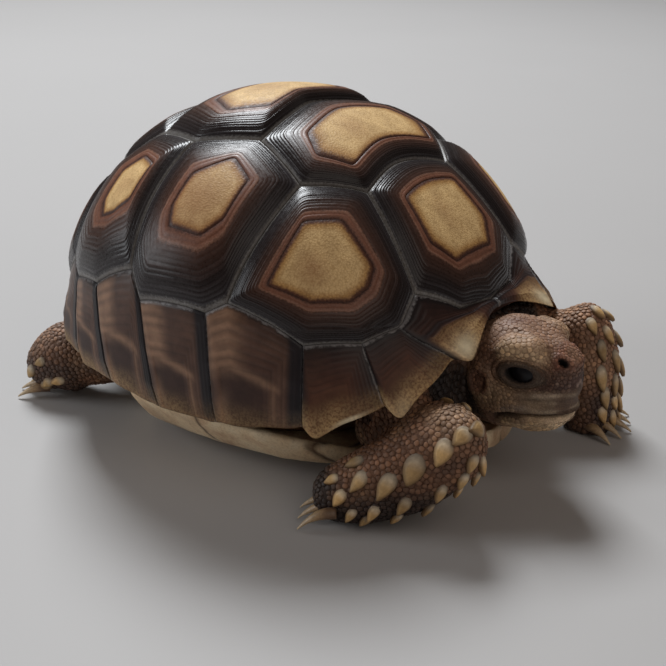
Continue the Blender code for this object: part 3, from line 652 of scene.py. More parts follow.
def buildMarginal(name, chain, startAngle, endAngle, facts, finish, sign, seed):
    tip, tanEdge, paleCorner, creamTip = facts
    form = marginalMesh
    chain = np.array(chain, dtype=float)
    lengths = np.linalg.norm(np.diff(chain, axis=0), axis=1)
    marks = np.cumsum(lengths)[:-1] / lengths.sum()
    ends = form["gap"] / 2.0 * millimetre / lengths.sum()
    shares = np.linspace(ends, 1.0 - ends, form["across"])
    for mark in marks:
        shares[np.abs(shares - mark).argmin()] = mark
    inner = chainPoints(chain, shares)
    innerRadius = np.hypot(inner[:, 0], inner[:, 1]) + form["gap"] / 2.0 * millimetre
    innerAngle = np.arctan2(inner[:, 1], inner[:, 0]) % (2.0 * math.pi)
    rimAngle = startAngle + (endAngle - startAngle) * shares
    reach = np.where(shares < form["tipPlace"], (shares / form["tipPlace"]) ** 2,
                     (1.0 - shares) / (1.0 - form["tipPlace"]))
    chip = 0.006 * waves(np.column_stack((shares * 9.0, np.full(len(shares), seed))), 1.0, int(seed * 10))
    evenOut(reach, 14)
    plainRim = rimRadius(rimAngle)
    rim = plainRim + tip * 1.08 * reach + chip * smooth(0.0, 0.1, shares) * smooth(1.0, 0.9, shares)
    verts, values = [], {key: [] for key in ("growth", "pale", "tipTan", "dark", "cream", "crest")}
    downs = np.linspace(0.0, 1.0, form["down"])
    full = np.clip((rim - innerRadius) / form["fullLip"], 0.4, 1.0)
    # growth starts from a box near the lower rear corner and spreads up and forward
    boxFront, boxRear, boxTop = 0.42, 0.86, 0.58
    rise = form["rise"] * millimetre
    edgePlain = dome(onDisc(plainRim, rimAngle))

    def discAt(down):
        radius = innerRadius + (rim - innerRadius) * down
        angle = innerAngle + (rimAngle - innerAngle) * down
        return onDisc(radius, angle)

    for down in downs:
        frontWay = (boxFront - shares) / boxFront
        rearWay = (shares - boxRear) / (1.0 - boxRear)
        topWay = np.full_like(shares, (boxTop - down) / boxTop)
        growth = np.clip(np.maximum(np.maximum(frontWay, rearWay), topWay), 0.0, 1.0)
        wander = 0.15 * np.sin(shares * 6.0 + seed) * growth
        ridge = np.abs(np.sin((growth * form["rings"] + wander) * math.pi)) ** 0.6
        ringHeight = form["ridge"] * (1.9 if name[-2:] in ("_1", "_2") else 1.0)
        sideDrop = smooth(0.97, 1.0, shares) + smooth(0.03, 0.0, shares)
        drop = 0.13 * np.clip(sideDrop + smooth(0.05, 0.0, down), 0.0, 1.0) ** 1.5
        swell = rise * np.interp(down, (0.0, 0.45, 0.8, 1.0), (0.0, 1.0, 1.0, 0.0))
        grown = smooth(0.04, 0.15, growth) * smooth(1.0, 0.96, down)
        lift = swell + (ridge * ringHeight * grown - drop) * millimetre
        verts.append(shellPoints(discAt(down), lift))
        edgeFade = smooth(0.0, 0.03, shares) * smooth(1.0, 0.97, shares)
        corner = smooth(0.52, 0.80, shares) * smooth(0.66, 0.42, down) * smooth(0.0, 0.06, down)
        band = 0.75 * bump(down, 0.50 + 0.22 * (0.75 - shares), 0.045) * smooth(0.18, 0.30, shares)
        upright = 0.50 * bump(shares, 0.30, 0.035) * smooth(0.55, 0.66, down) * smooth(1.0, 0.9, down)
        rearFoot = 0.6 * bump(shares, 0.86, 0.07) * smooth(0.60, 0.85, down)
        fineLines = 0.78 + 0.22 * np.cos(down * 62.0 + 2.0 * shares)
        values["growth"].append(growth)
        values["crest"].append(np.where(growth > 0.04, 0.15 + 0.7 * ridge, 0.5))
        pale = np.clip(np.maximum.reduce((corner * fineLines, band, upright, rearFoot)), 0.0, 1.0)
        values["pale"].append(0.85 * paleCorner * pale * edgeFade)
        values["dark"].append(min(1.4 * paleCorner, 1.0) * smooth(0.20, 0.11, shares)
                              * smooth(1.0, 0.93, down) * 0.92)
        along = 0.40 + 0.60 * smooth(0.20, 0.70, shares)
        reachUp = smooth(0.58, 0.97, down) if paleCorner < 0.3 else smooth(0.74, 1.0, down)
        tanHere = reachUp * along + 0.35 * smooth(0.93, 1.0, down)
        values["tipTan"].append(tanEdge * np.clip(tanHere, 0.0, 1.0))
        atTip = bump(shares, 0.80, 0.13) * smooth(0.70, 0.97, down)
        if name.endswith("_3"):
            atTip = bump(shares, 0.42, 0.16) * smooth(0.930, 0.965, down)
        if name.endswith("_1"):         # tan field with a dark border above it
            atTip = bump(shares, 0.78, 0.13) * bump(down, 0.86, 0.13)
            field = down + 0.10 * (shares - 0.5)
            inField = (0.85 * smooth(0.46, 0.54, field) * smooth(0.97, 0.88, shares)
                       * smooth(0.28, 0.50, shares))
            values["tipTan"][-1] = tanEdge * inField * (0.40 + 0.60 * smooth(0.52, 0.82, down))
            values["dark"][-1] = 0.75 * bump(field, 0.42, 0.06) * edgeFade
        values["cream"].append(creamTip * atTip)
    # under the free edge and back up the inside
    plate = form["thickness"] * millimetre
    insideMiddle = shellPoints(discAt(0.45), -plate * (0.8 + 0.8 * full))
    insideTop = shellPoints(discAt(0.0), np.full(len(shares), -plate))
    inward = (insideMiddle - edgePlain) * (1.0, 1.0, 0.0)
    inward /= np.linalg.norm(inward, axis=1)[:, None]
    lip = edgePlain + inward * (form["lipWidth"] * full)[:, None]
    lip[:, 2] = np.minimum(edgePlain[:, 2] + form["lipRise"], insideTop[:, 2] - form["lipDrop"])
    under = edgePlain * 0.65 + lip * 0.35
    under[:, 2] -= form["sag"]
    path = np.stack((verts[-1], under, lip, insideMiddle, insideTop))
    keys = np.array((0.0, 0.22, 0.45, 0.72, 1.0))
    for step in np.linspace(0.0, 1.0, form["down"])[1:]:
        k = min(int(np.searchsorted(keys, step)), 4)
        share = (step - keys[k - 1]) / (keys[k] - keys[k - 1])
        verts.append(path[k - 1] + (path[k] - path[k - 1]) * share)
        fade = float(smooth(0.5, 0.0, step))
        for key, rowsOf in values.items():
            rowsOf.append(rowsOf[form["down"] - 1] * (0.6 if key == "growth" else fade))
    rows, count = len(verts), form["across"]
    places = np.concatenate(verts) * (1.0, sign, 1.0)
    faces = []
    for row in range(rows - 1):
        for i in range(count - 1):
            a = row * count + i
            faces.append((a, a + 1, a + count + 1, a + count))
    for i in range(count - 1):              # the inside's top row joins the outside's
        a = (rows - 1) * count + i
        faces.append((a, a + 1, i + 1, i))
    outside = form["down"]
    for i in (0, count - 1):                # end faces, outside against inside
        for row in range(outside - 1):
            mirrorRow = rows - 1 - row
            a, b = row * count + i, (row + 1) * count + i
            c, d = (mirrorRow - 1) * count + i, mirrorRow * count + i
            faces.append((a, b, c, d) if b != c else (a, b, d))
    piece = newMesh(f"{name}_horn", toWorld(places), faces, finish)
    outwardFaces(piece)
    for key, rowsOf in values.items():
        giveValue(piece, key, np.concatenate(rowsOf))
    giveValue(piece, "plainness", np.full(len(places), min(paleCorner * 1.6, 1.0)))
    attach(piece, "root")
    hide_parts(name)


def buildRim(finish):
    start, startAngle = 0, 0.0
    for index, (end, endDegrees, *facts) in enumerate(marginals):
        endAngle = math.radians(endDegrees)
        chain = list(rimCorners[start:end + 1])
        if index == 0:
            chain = [(spineFront, 0.0), neckCorner] + chain
        for side, sign in (("right", 1.0), ("left", -1.0)):
            buildMarginal(f"marginal_{side}_{index + 1}", chain, startAngle, endAngle, facts,
                          finish, sign, index + 0.4 * sign + 1.0)
        start, startAngle = end, endAngle
    half = [rimCorners[-1], (spineRear, 0.0)]
    chain = half + [(half[0][0], -half[0][1])]
    buildMarginal("supracaudal", chain, startAngle, 2.0 * math.pi - startAngle,
                  (0.0, 0.7, 0.1, 0.0), finish, 1.0, 20.0)


# Pale seam bed that shows between the scutes: depths in millimetres, reach against the rim
bedForm = {"depth": 0.20, "underside": 0.62, "inner": 0.02, "outer": 0.94, "around": 160, "rows": 60}


def buildBed(finish):
    count, rows = bedForm["around"], bedForm["rows"]
    angle = circle(count)
    turn = (angle + math.pi) % (2.0 * math.pi) - math.pi
    verts = []
    top, underside = -bedForm["depth"] * millimetre, -bedForm["underside"] * millimetre
    layers = [(radius, top) for radius in np.linspace(bedForm["inner"], bedForm["outer"], rows)]
    layers += [(radius, underside) for radius in (bedForm["outer"], bedForm["inner"])]
    for radius, lift in layers:
        verts.append(shellPoints(onDisc(radius * rimRadius(turn), angle), np.full(count, lift)))
    places = np.concatenate(verts)
    start = len(places)
    ends = shellPoints(np.zeros((2, 2)), (top, underside))
    places = np.vstack((places, ends))
    piece = newMesh("seam_bed", toWorld(places), ringFaces(len(verts), count, start, start + 1), finish)
    outwardFaces(piece)
    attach(piece, "root")


# Plastron and bridges: forward, half width of the flat underside, half width of the top edge,
# height of that edge
belly = {
    "stations": ((0.860, 0.075, 0.135, -0.060), (0.800, 0.150, 0.200, -0.062), (0.660, 0.270, 0.345, -0.062),
                 (0.500, 0.370, 0.470, -0.058), (0.400, 0.420, 0.650, 0.040), (0.300, 0.450, 0.740, 0.092),
                 (0.000, 0.470, 0.762, 0.098), (-0.300, 0.450, 0.745, 0.118), (-0.400, 0.420, 0.650, 0.070),
                 (-0.500, 0.370, 0.465, -0.040), (-0.640, 0.300, 0.370, -0.062),
                 (-0.740, 0.210, 0.275, -0.062),
                 (-0.790, 0.130, 0.190, -0.060)),
    "level": -0.135, "top": -0.062, "bow": 0.035,
    "seams": (0.66, 0.44, 0.06, -0.36, -0.62),      # cross seams, front to rear
    "seamWidth": 0.007, "seamDepth": 0.0045,
    "rows": 150, "around": 84,
}


def bellySection(forward, flat, edge, edgeHeight):
    bow = belly["bow"] * max((forward - 0.45) / 0.4, 0.0) ** 2
    low, top = belly["level"] + bow, belly["top"] + bow
    height = edgeHeight + bow
    wall = min(0.055, edge * 0.3)
    shoulder = flat + (edge - flat) * 0.55
    half = [(0.0, low), (flat * 0.6, low), (flat, low + 0.008),
            (shoulder, low + 0.008 + (height - low) * 0.28),
            (edge, height), (edge - wall, height + 0.012),
            (min(shoulder, edge - wall) - 0.03, max(top, low + (height - low) * 0.31)), (flat * 0.6, top),
            (0.0, top)]
    half = np.array(half)
    marks = np.array((0.0, 0.15, 0.26, 0.38, 0.56, 0.62, 0.76, 0.88, 1.0))
    share = np.linspace(0.0, 1.0, belly["around"] // 2 + 1)
    right = np.column_stack([np.interp(share, marks, half[:, k]) for k in range(2)])
    evenOut(right, 4)
    loop = np.vstack((right, right[-2:0:-1] * (-1.0, 1.0)))
    return np.column_stack((np.full(len(loop), forward), loop))


def buildBelly(finish):
    rings = np.array([bellySection(*station) for station in belly["stations"]])
    forward = np.array([station[0] for station in belly["stations"]])
    marks = np.linspace(forward[0], forward[-1], belly["rows"])
    grid = np.empty((len(marks), rings.shape[1], 3))
    for k in range(3):
        for column in range(rings.shape[1]):
            grid[:, column, k] = np.interp(-marks, -forward, rings[:, column, k])
    evenOut(grid, 5)
    seam = np.zeros(grid.shape[:2])
    below = smooth(0.02, -0.02, grid[:, :, 2])
    for place in belly["seams"]:
        bent = place - 0.03 * np.cos(grid[:, :, 1] * 9.0) * (place > 0.0)
        seam = np.maximum(seam, bump(grid[:, :, 0], bent, belly["seamWidth"]))
    seam = np.maximum(seam, bump(grid[:, :, 1], 0.004 * np.sin(grid[:, :, 0] * 14.0), belly["seamWidth"]))
    flatPart = grid[:, :, 2] < belly["level"] + 0.002
    lift = belly["seamDepth"] * seam
    growth = 0.0016 * np.sin(np.abs(grid[:, :, 1]) * 150.0 + 4.0 * np.sin(grid[:, :, 0] * 8.0))
    grid[:, :, 2] += np.where(below > 0.5, lift, 0.0)
    outside = np.abs(grid[:, :, 1]) > 0.46
    grid[:, :, 2] -= np.where(outside & ~flatPart, growth, 0.0)
    verts, faces = ringsToMesh(grid)
    piece = newMesh("belly_plate", toWorld(verts), faces, finish)
    outwardFaces(piece)
    giveValue(piece, "seam", np.append(seam.ravel(), (0.0, 0.0)))
    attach(piece, "root")
    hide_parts("plastron")


def bellyFinish():
    finish, tree, shader = newFinish("belly_horn", 0.5, 0.35)
    base = rampNode(tree, noiseNode(tree, 160.0, 4.0),
                    [(0.32, (0.60, 0.38, 0.225)), (0.48, (0.84, 0.65, 0.42)),
                                                        (0.70, (0.88, 0.75, 0.54))])
    stained = cloudNode(tree, 0.8, base, 60.0, 3.0, (0.50, (1.0, 1.0, 1.0)), (0.72, (0.50, 0.34, 0.26)))
    specked = cloudNode(tree, 0.7, stained, 2600.0, 3.0, (0.30, (0.72, 0.66, 0.58)), (0.55, (1.0, 1.0, 1.0)))
    seamed = mixNode(tree, valueNode(tree, "seam"), specked, (0.10, 0.055, 0.035))
    tree.links.new(seamed, shader.inputs["Base Color"])
    tree.links.new(bumpNode(tree, noiseNode(tree, 3000.0, 3.0), 0.00006, 0.4), shader.inputs["Normal"])
    return finish


buildCarapace(scuteFinish())
buildRim(marginalFinish())
buildBed(bedFinish())
print("shell built")


# One skin for head, neck, body, legs and tail.
# Each limb is a row of (place, half width, half height).
flesh = {
    "coatDepth": 0.0075,        # how far the skin lies inside the solids, for the scales
    "voxel": 0.00050,           # metres
    "rows": 46, "sides": 40,
    "headSide": 0.025,
    "headSquareness": 2.4,
    "head": ((0.705, 0.105, 0.310, 0.050), (0.760, 0.140, 0.352, 0.026), (0.840, 0.168, 0.392, 0.008),
             (0.920, 0.178, 0.414, 0.000), (0.985, 0.174, 0.412, 0.002), (1.040, 0.157, 0.396, 0.010),
             (1.090, 0.132, 0.370, 0.022), (1.130, 0.103, 0.342, 0.045), (1.158, 0.074, 0.312, 0.080),
             (1.172, 0.042, 0.282, 0.120)),
    "neck": (((0.560, 0.000, 0.150), 0.150, 0.130), ((0.660, 0.008, 0.165), 0.145, 0.134),
             ((0.730, 0.020, 0.180), 0.130, 0.135), ((0.800, 0.025, 0.195), 0.120, 0.130)),
    "collar": (((0.420, -0.045, 0.160), 0.430, 0.190), ((0.560, -0.045, 0.175), 0.520, 0.200),
               ((0.665, -0.045, 0.190), 0.550, 0.190), ((0.735, -0.045, 0.197), 0.560, 0.177),
               ((0.790, -0.045, 0.197), 0.515, 0.138)),
    "rump": (((-0.420, 0.000, 0.120), 0.420, 0.150), ((-0.600, 0.000, 0.110), 0.370, 0.150),
             ((-0.680, 0.000, 0.095), 0.260, 0.120), ((-0.715, 0.000, 0.080), 0.140, 0.085)),
    "tail": (((-0.600, 0.000, 0.035), 0.085, 0.075), ((-0.800, 0.000, 0.015), 0.068, 0.060),
             ((-0.890, 0.005, -0.010), 0.045, 0.040), ((-0.950, 0.010, -0.035), 0.020, 0.018)),
    "armRight": (((0.560, 0.360, 0.050), 0.115, 0.090), ((0.720, 0.420, 0.070), 0.122, 0.110),
                 ((0.830, 0.455, 0.095), 0.130, 0.130), ((0.910, 0.470, 0.110), 0.125, 0.130),
                 ((0.965, 0.478, 0.105), 0.095, 0.100)),
    "forearmRight": (((1.030, 0.455, 0.145), 0.052, 0.058), ((0.990, 0.468, 0.132), 0.100, 0.110),
                     ((0.910, 0.498, 0.088), 0.118, 0.138), ((0.810, 0.545, 0.012), 0.118, 0.150),
                     ((0.705, 0.592, -0.048), 0.113, 0.140), ((0.615, 0.630, -0.085), 0.110, 0.118),
                     ((0.550, 0.655, -0.110), 0.098, 0.095), ((0.512, 0.670, -0.120), 0.070, 0.070)),
    "armLeft": (((0.560, -0.360, 0.045), 0.110, 0.090), ((0.730, -0.445, 0.065), 0.120, 0.110),
                ((0.800, -0.485, 0.105), 0.140, 0.140), ((0.860, -0.515, 0.132), 0.138, 0.138),
                ((0.910, -0.540, 0.150), 0.105, 0.110)),
    "forearmLeft": (((0.895, -0.536, 0.275), 0.055, 0.050), ((0.910, -0.538, 0.235), 0.115, 0.105),
                    ((0.935, -0.542, 0.130), 0.140, 0.130), ((0.955, -0.546, 0.010), 0.140, 0.130),
                    ((0.968, -0.549, -0.085), 0.132, 0.115), ((0.975, -0.551, -0.160), 0.130, 0.108),
                    ((0.978, -0.552, -0.250), 0.125, 0.100)),
    "legRight": (((-0.580, 0.350, 0.050), 0.100, 0.080), ((-0.735, 0.425, 0.045), 0.120, 0.110),
                 ((-0.810, 0.455, 0.050), 0.135, 0.130), ((-0.880, 0.485, 0.040), 0.140, 0.155),
                 ((-0.950, 0.510, 0.000), 0.128, 0.130), ((-0.990, 0.525, -0.055), 0.105, 0.085)),
    "thighLeft": (((-0.580, -0.350, 0.030), 0.085, 0.065), ((-0.715, -0.430, 0.015), 0.110, 0.080),
                  ((-0.780, -0.500, 0.000), 0.120, 0.085), ((-0.820, -0.545, -0.015), 0.095, 0.070)),
    "footLeft": (((-0.810, -0.540, 0.060), 0.060, 0.060), ((-0.815, -0.545, 0.030), 0.110, 0.110),
                 ((-0.820, -0.555, -0.040), 0.130, 0.130), ((-0.828, -0.562, -0.100), 0.128, 0.125),
                 ((-0.830, -0.565, -0.160), 0.125, 0.120)),
    "trunkDepth": 0.0170, "trunkWall": (0.50, 0.60, 0.52), "trunkBase": (0.48, 0.56, 0.50),
    "trunkFloor": -0.050,
}


# Smooth curve through a table's rows
def curveThrough(table, count):
    table = np.asarray(table, dtype=float)
    padded = np.vstack((2.0 * table[0] - table[1], table, 2.0 * table[-1] - table[-2]))
    marks = np.linspace(0.0, len(table) - 1.000001, count)
    first = marks.astype(int)
    share = (marks - first)[:, None]
    p0, p1, p2, p3 = (padded[first + k] for k in range(4))
    return 0.5 * (2.0 * p1 + (p2 - p0) * share + (2.0 * p0 - 5.0 * p1 + 4.0 * p2 - p3) * share ** 2
                  + (3.0 * p1 - p0 - 3.0 * p2 + p3) * share ** 3)


def limbFrames(centres, up):
    along = np.gradient(centres, axis=0)
    along /= np.linalg.norm(along, axis=1)[:, None]
    across = np.cross(along, np.asarray(up, dtype=float))
    across /= np.linalg.norm(across, axis=1)[:, None]
    return along, across, np.cross(across, along)


# Radius of a rounded square: a power of 2 is a circle, more is squarer
def squared(c, s, power):
    return (np.abs(c) ** power + np.abs(s) ** power) ** (-1.0 / power)


def limbRings(stations, up=(0.0, 0.0, 1.0), power=2.2, shrink=0.0):
    table = curveThrough([(*place, width, height) for place, width, height in stations], flesh["rows"])
    centres = table[:, :3]
    _, across, above = limbFrames(centres, up)
    angle = circle(flesh["sides"])
    c, s = np.cos(angle), np.sin(angle)
    size = squared(c, s, power)
    width = np.maximum(table[:, 3] - shrink, 0.02)[:, None, None]
    height = np.maximum(table[:, 4] - shrink, 0.02)[:, None, None]
    sideways = across[:, None, :] * (c * size)[None, :, None] * width
    upward = above[:, None, :] * (s * size)[None, :, None] * height
    return centres[:, None, :] + sideways + upward


def ringsToMesh(rings):
    rows, count = rings.shape[:2]
    verts = np.vstack((rings.reshape(-1, 3), rings[0].mean(axis=0), rings[-1].mean(axis=0)))
    return verts, ringFaces(rows, count, rows * count, rows * count + 1)


def headRings(shrink):
    table = curveThrough(flesh["head"], 60)
    # round off the nose
    tip = table[-1].copy()
    for share in (0.35, 0.62, 0.82, 0.95):
        row = tip.copy()
        row[0] = tip[0] + (1.178 - tip[0]) * share
        close = math.sqrt(1.0 - share ** 2)
        middle = (tip[2] + tip[3]) / 2.0
        row[1] = tip[1] * close
        row[2:] = middle + (tip[2:] - middle) * close
        table = np.vstack((table, row))
    angle = circle(64)
    c, s = np.cos(angle), np.sin(angle)
    power = flesh["headSquareness"]
    size = squared(c, s, power)
    middle, half = (table[:, 2] + table[:, 3]) / 2.0, (table[:, 2] - table[:, 3]) / 2.0
    rings = np.empty((len(table), 64, 3))
    rings[:, :, 0] = table[:, 0][:, None] - shrink * 0.5
    rings[:, :, 1] = flesh["headSide"] + (table[:, 1] - shrink)[:, None] * c * size
    rings[:, :, 2] = middle[:, None] + (half - shrink)[:, None] * s * size
    return rings


def trunkRings():
    angle = circle(48)
    depth = flesh["trunkDepth"] / body["halfLength"]
    rings = [shellPoints(onDisc(radius, angle), np.full(48, -depth)) for radius in (0.05, 0.25, 0.42, 0.52)]
    walls = ((0.18, flesh["trunkWall"]), (0.05, flesh["trunkWall"]),
             (flesh["trunkFloor"], flesh["trunkBase"]))
    for height, reach in walls:
        radius = outline(angle) * around(angle, reach)
        rings.append(np.column_stack((radius * np.cos(angle), radius * np.sin(angle), np.full(48, height))))
    return np.array(rings)


# Limbs in the order that decides which one a place is on; those that stand upright are turned
limbOrder = ("collar", "rump", "tail", "neck", "armRight", "forearmRight", "armLeft", "forearmLeft",
             "legRight", "thighLeft", "footLeft")
uprightLimbs = ("forearmLeft", "footLeft")
depth = flesh["coatDepth"]
limbs = {limb: (flesh[limb], (1.0, 0.0, 0.0) if limb in uprightLimbs else (0.0, 0.0, 1.0))
         for limb in limbOrder}


def limbLine(name):
    if name == "head":
        table = curveThrough(flesh["head"], 40)
        side = np.full(len(table), flesh["headSide"])
        centres = np.column_stack((table[:, 0], side, (table[:, 2] + table[:, 3]) / 2.0))
        return centres, (0.0, 0.0, 1.0), np.maximum(table[:, 1], 0.1)
    stations, up = limbs[name]
    table = curveThrough([(*place, (width + height) / 2.0) for place, width, height in stations], 40)
    return table[:, :3], up, table[:, 3]


limbLines = {name: limbLine(name) for name in ("head", *limbs)}
limbNumbers = {name: number for number, name in enumerate(limbLines)}


# Which limb each place is on, with its share along the limb, its angle and its lie
def onLimbs(places):
    best = np.full(len(places), np.inf)
    name = np.zeros(len(places), dtype=int)
    share, angle = np.zeros(len(places)), np.zeros(len(places))
    lie = np.zeros_like(places)
    for number, (centres, up, radii) in enumerate(limbLines.values()):
        along, across, above = limbFrames(centres, up)
        away = np.linalg.norm(places[:, None, :] - centres[None], axis=2) / radii[None]
        near = away.argmin(axis=1)
        closest = away[np.arange(len(places)), near]
        closer = closest < best
        if number > 0:
            closer &= ~((places[:, 0] > 0.80) & (np.abs(places[:, 1] - flesh["headSide"]) < 0.21))
        out = places - centres[near]
        turn = np.arctan2((out * above[near]).sum(axis=1), (out * across[near]).sum(axis=1))
        best = np.where(closer, closest, best)
        name[closer] = number
        share[closer] = near[closer] / (len(centres) - 1.0)
        angle[closer] = turn[closer]
        lie[closer] = along[near][closer]
    return name, share, angle, lie


# Back from metres to (forward, right, up)
def fromWorld(world):
    right = -world[:, 0] / body["halfLength"]
    ahead = (shiftY - world[:, 1]) / body["halfLength"]
    height = world[:, 2] / body["halfLength"] - floorDrop
    return np.column_stack((ahead * leanCos + height * leanSin, right, height * leanCos - ahead * leanSin))


def meshArrays(mesh):
    verts = np.empty(len(mesh.vertices) * 3)
    mesh.vertices.foreach_get("co", verts)
    normals = np.empty(len(mesh.vertices) * 3)
    mesh.vertices.foreach_get("normal", normals)
    return verts.reshape(-1, 3), normals.reshape(-1, 3)


def applied(piece):
    graph = bpy.context.evaluated_depsgraph_get()
    made = bpy.data.meshes.new_from_object(piece.evaluated_get(graph))
    piece.modifiers.clear()
    piece.data = made
    return piece


def splitFaces(piece, wanted):
    work = bmesh.new()
    work.from_mesh(piece.data)
    work.verts.ensure_lookup_table()
    work.edges.ensure_lookup_table()
    edges = [edge for edge in work.edges if wanted[edge.verts[0].index] and wanted[edge.verts[1].index]]
    bmesh.ops.subdivide_edges(work, edges=edges, cuts=1, use_grid_fill=True)
    work.to_mesh(piece.data)
    work.free()


def relax(piece, rounds, share):
    mesh = piece.data
    verts, _ = meshArrays(mesh)
    pairs = np.empty(len(mesh.edges) * 2, dtype=np.int64)
    mesh.edges.foreach_get("vertices", pairs)
    a, b = pairs[0::2], pairs[1::2]
    count = np.bincount(pairs, minlength=len(verts))[:, None]
    for _ in range(rounds):
        total = np.zeros_like(verts)
        for k in range(3):
            total[:, k] = (np.bincount(a, verts[b, k], len(verts)) + np.bincount(b, verts[a, k], len(verts)))
        verts += (total / np.maximum(count, 1) - verts) * share
    mesh.vertices.foreach_set("co", verts.ravel())
    mesh.update()


def skinBase(finish):
    verts, faces = [], []
    parts = [ringsToMesh(headRings(depth)), ringsToMesh(trunkRings())]
    parts += [ringsToMesh(limbRings(stations, up, shrink=depth)) for stations, up in limbs.values()]
    start = 0
    for partVerts, partFaces in parts:
        verts.append(toWorld(partVerts))
        faces += [tuple(i + start for i in face) for face in partFaces]
        start += len(partVerts)
    piece = newMesh("skin", np.concatenate(verts), faces, finish)
    outwardFaces(piece)
    remesh = piece.modifiers.new("grow", "REMESH")
    remesh.mode = "VOXEL"
    remesh.voxel_size = flesh["voxel"]
    applied(piece)
    return piece


def skinFinish():
    finish, tree, shader = newFinish("scaly_skin", 0.72, 0.3)
    base = cloudNode(tree, 0.8, markingNode(tree), 700.0, 3.0, (0.3, (0.72, 0.68, 0.66)),
                     (0.7, (1.2, 1.15, 1.1)))
    pits = rampNode(tree, cellNode(tree, 4200.0), [(0.1, (1.1, 1.08, 1.05)), (0.7, (0.45, 0.40, 0.38))])
    tree.links.new(mixNode(tree, 0.6, base, pits, "MULTIPLY"), shader.inputs["Base Color"])
    grain = bumpNode(tree, cellNode(tree, 4200.0), 0.00010, 0.6)
    tree.links.new(bumpNode(tree, noiseNode(tree, 8000.0, 2.0), 0.00004, 0.4, grain), shader.inputs["Normal"])
    shader.inputs["Subsurface Weight"].default_value = 0.05
    shader.inputs["Subsurface Radius"].default_value = (0.0008, 0.0004, 0.0002)
    return finish


# Head shape, in the head's own (forward, sideways, up)
headForm = {
    "eye": (1.008, 0.262),          # forward and up of the eye's middle
    "eyeHalf": (0.047, 0.026),      # half width and height of the opening
    "eyeTurn": -8.0,                # degrees the opening leans forward
    "eyeDeep": 0.050,
    "ballRadius": 0.058, "ballSide": 0.086,
    "brow": 0.034,
    "mouth": ((0.860, 0.085), (0.920, 0.098), (0.980, 0.114), (1.050, 0.122), (1.120, 0.120), (1.180, 0.106)),
    "nostril": (1.130, 0.058, 0.302),
    "ear": (0.862, 0.212),
}


def headPlace(places):
    return places[:, 0], np.abs(places[:, 1] - flesh["headSide"]), places[:, 2]


def eyePlane(places):
    forward, up = headForm["eye"]
    turn = math.radians(headForm["eyeTurn"])
    ahead, above = places[:, 0] - forward, places[:, 2] - up
    return (ahead * math.cos(turn) + above * math.sin(turn),
            -ahead * math.sin(turn) + above * math.cos(turn))


def mouthHeight(forward):
    table = np.array(headForm["mouth"])
    return np.interp(forward, table[:, 0], table[:, 1])


def eyeRing(places):
    halfWide, halfHigh = headForm["eyeHalf"]
    a, b = eyePlane(places)
    return np.sqrt((a / halfWide) ** 2 + (b / halfHigh) ** 2), b


def nostrilAway(places):
    nf, ns, nu = headForm["nostril"]
    s = np.abs(places[:, 1] - flesh["headSide"])
    ahead = places[:, 0] - nf
    above = places[:, 2] - nu + 0.45 * ahead
    return np.sqrt((ahead * 0.85) ** 2 + (s - ns) ** 2 + (above * 1.45) ** 2)


def browLine(f):
    return 0.350 - 0.45 * np.maximum(f - 1.03, 0.0) - 0.30 * np.maximum(0.96 - f, 0.0)


def browShare(f, u):
    return bump(u, browLine(f) - 0.004, 0.034) * smooth(0.90, 0.96, f) * smooth(1.115, 1.06, f)


def earAway(f, u):
    forward, up = headForm["ear"]
    return np.hypot(f - forward, (u - up) * 0.9)


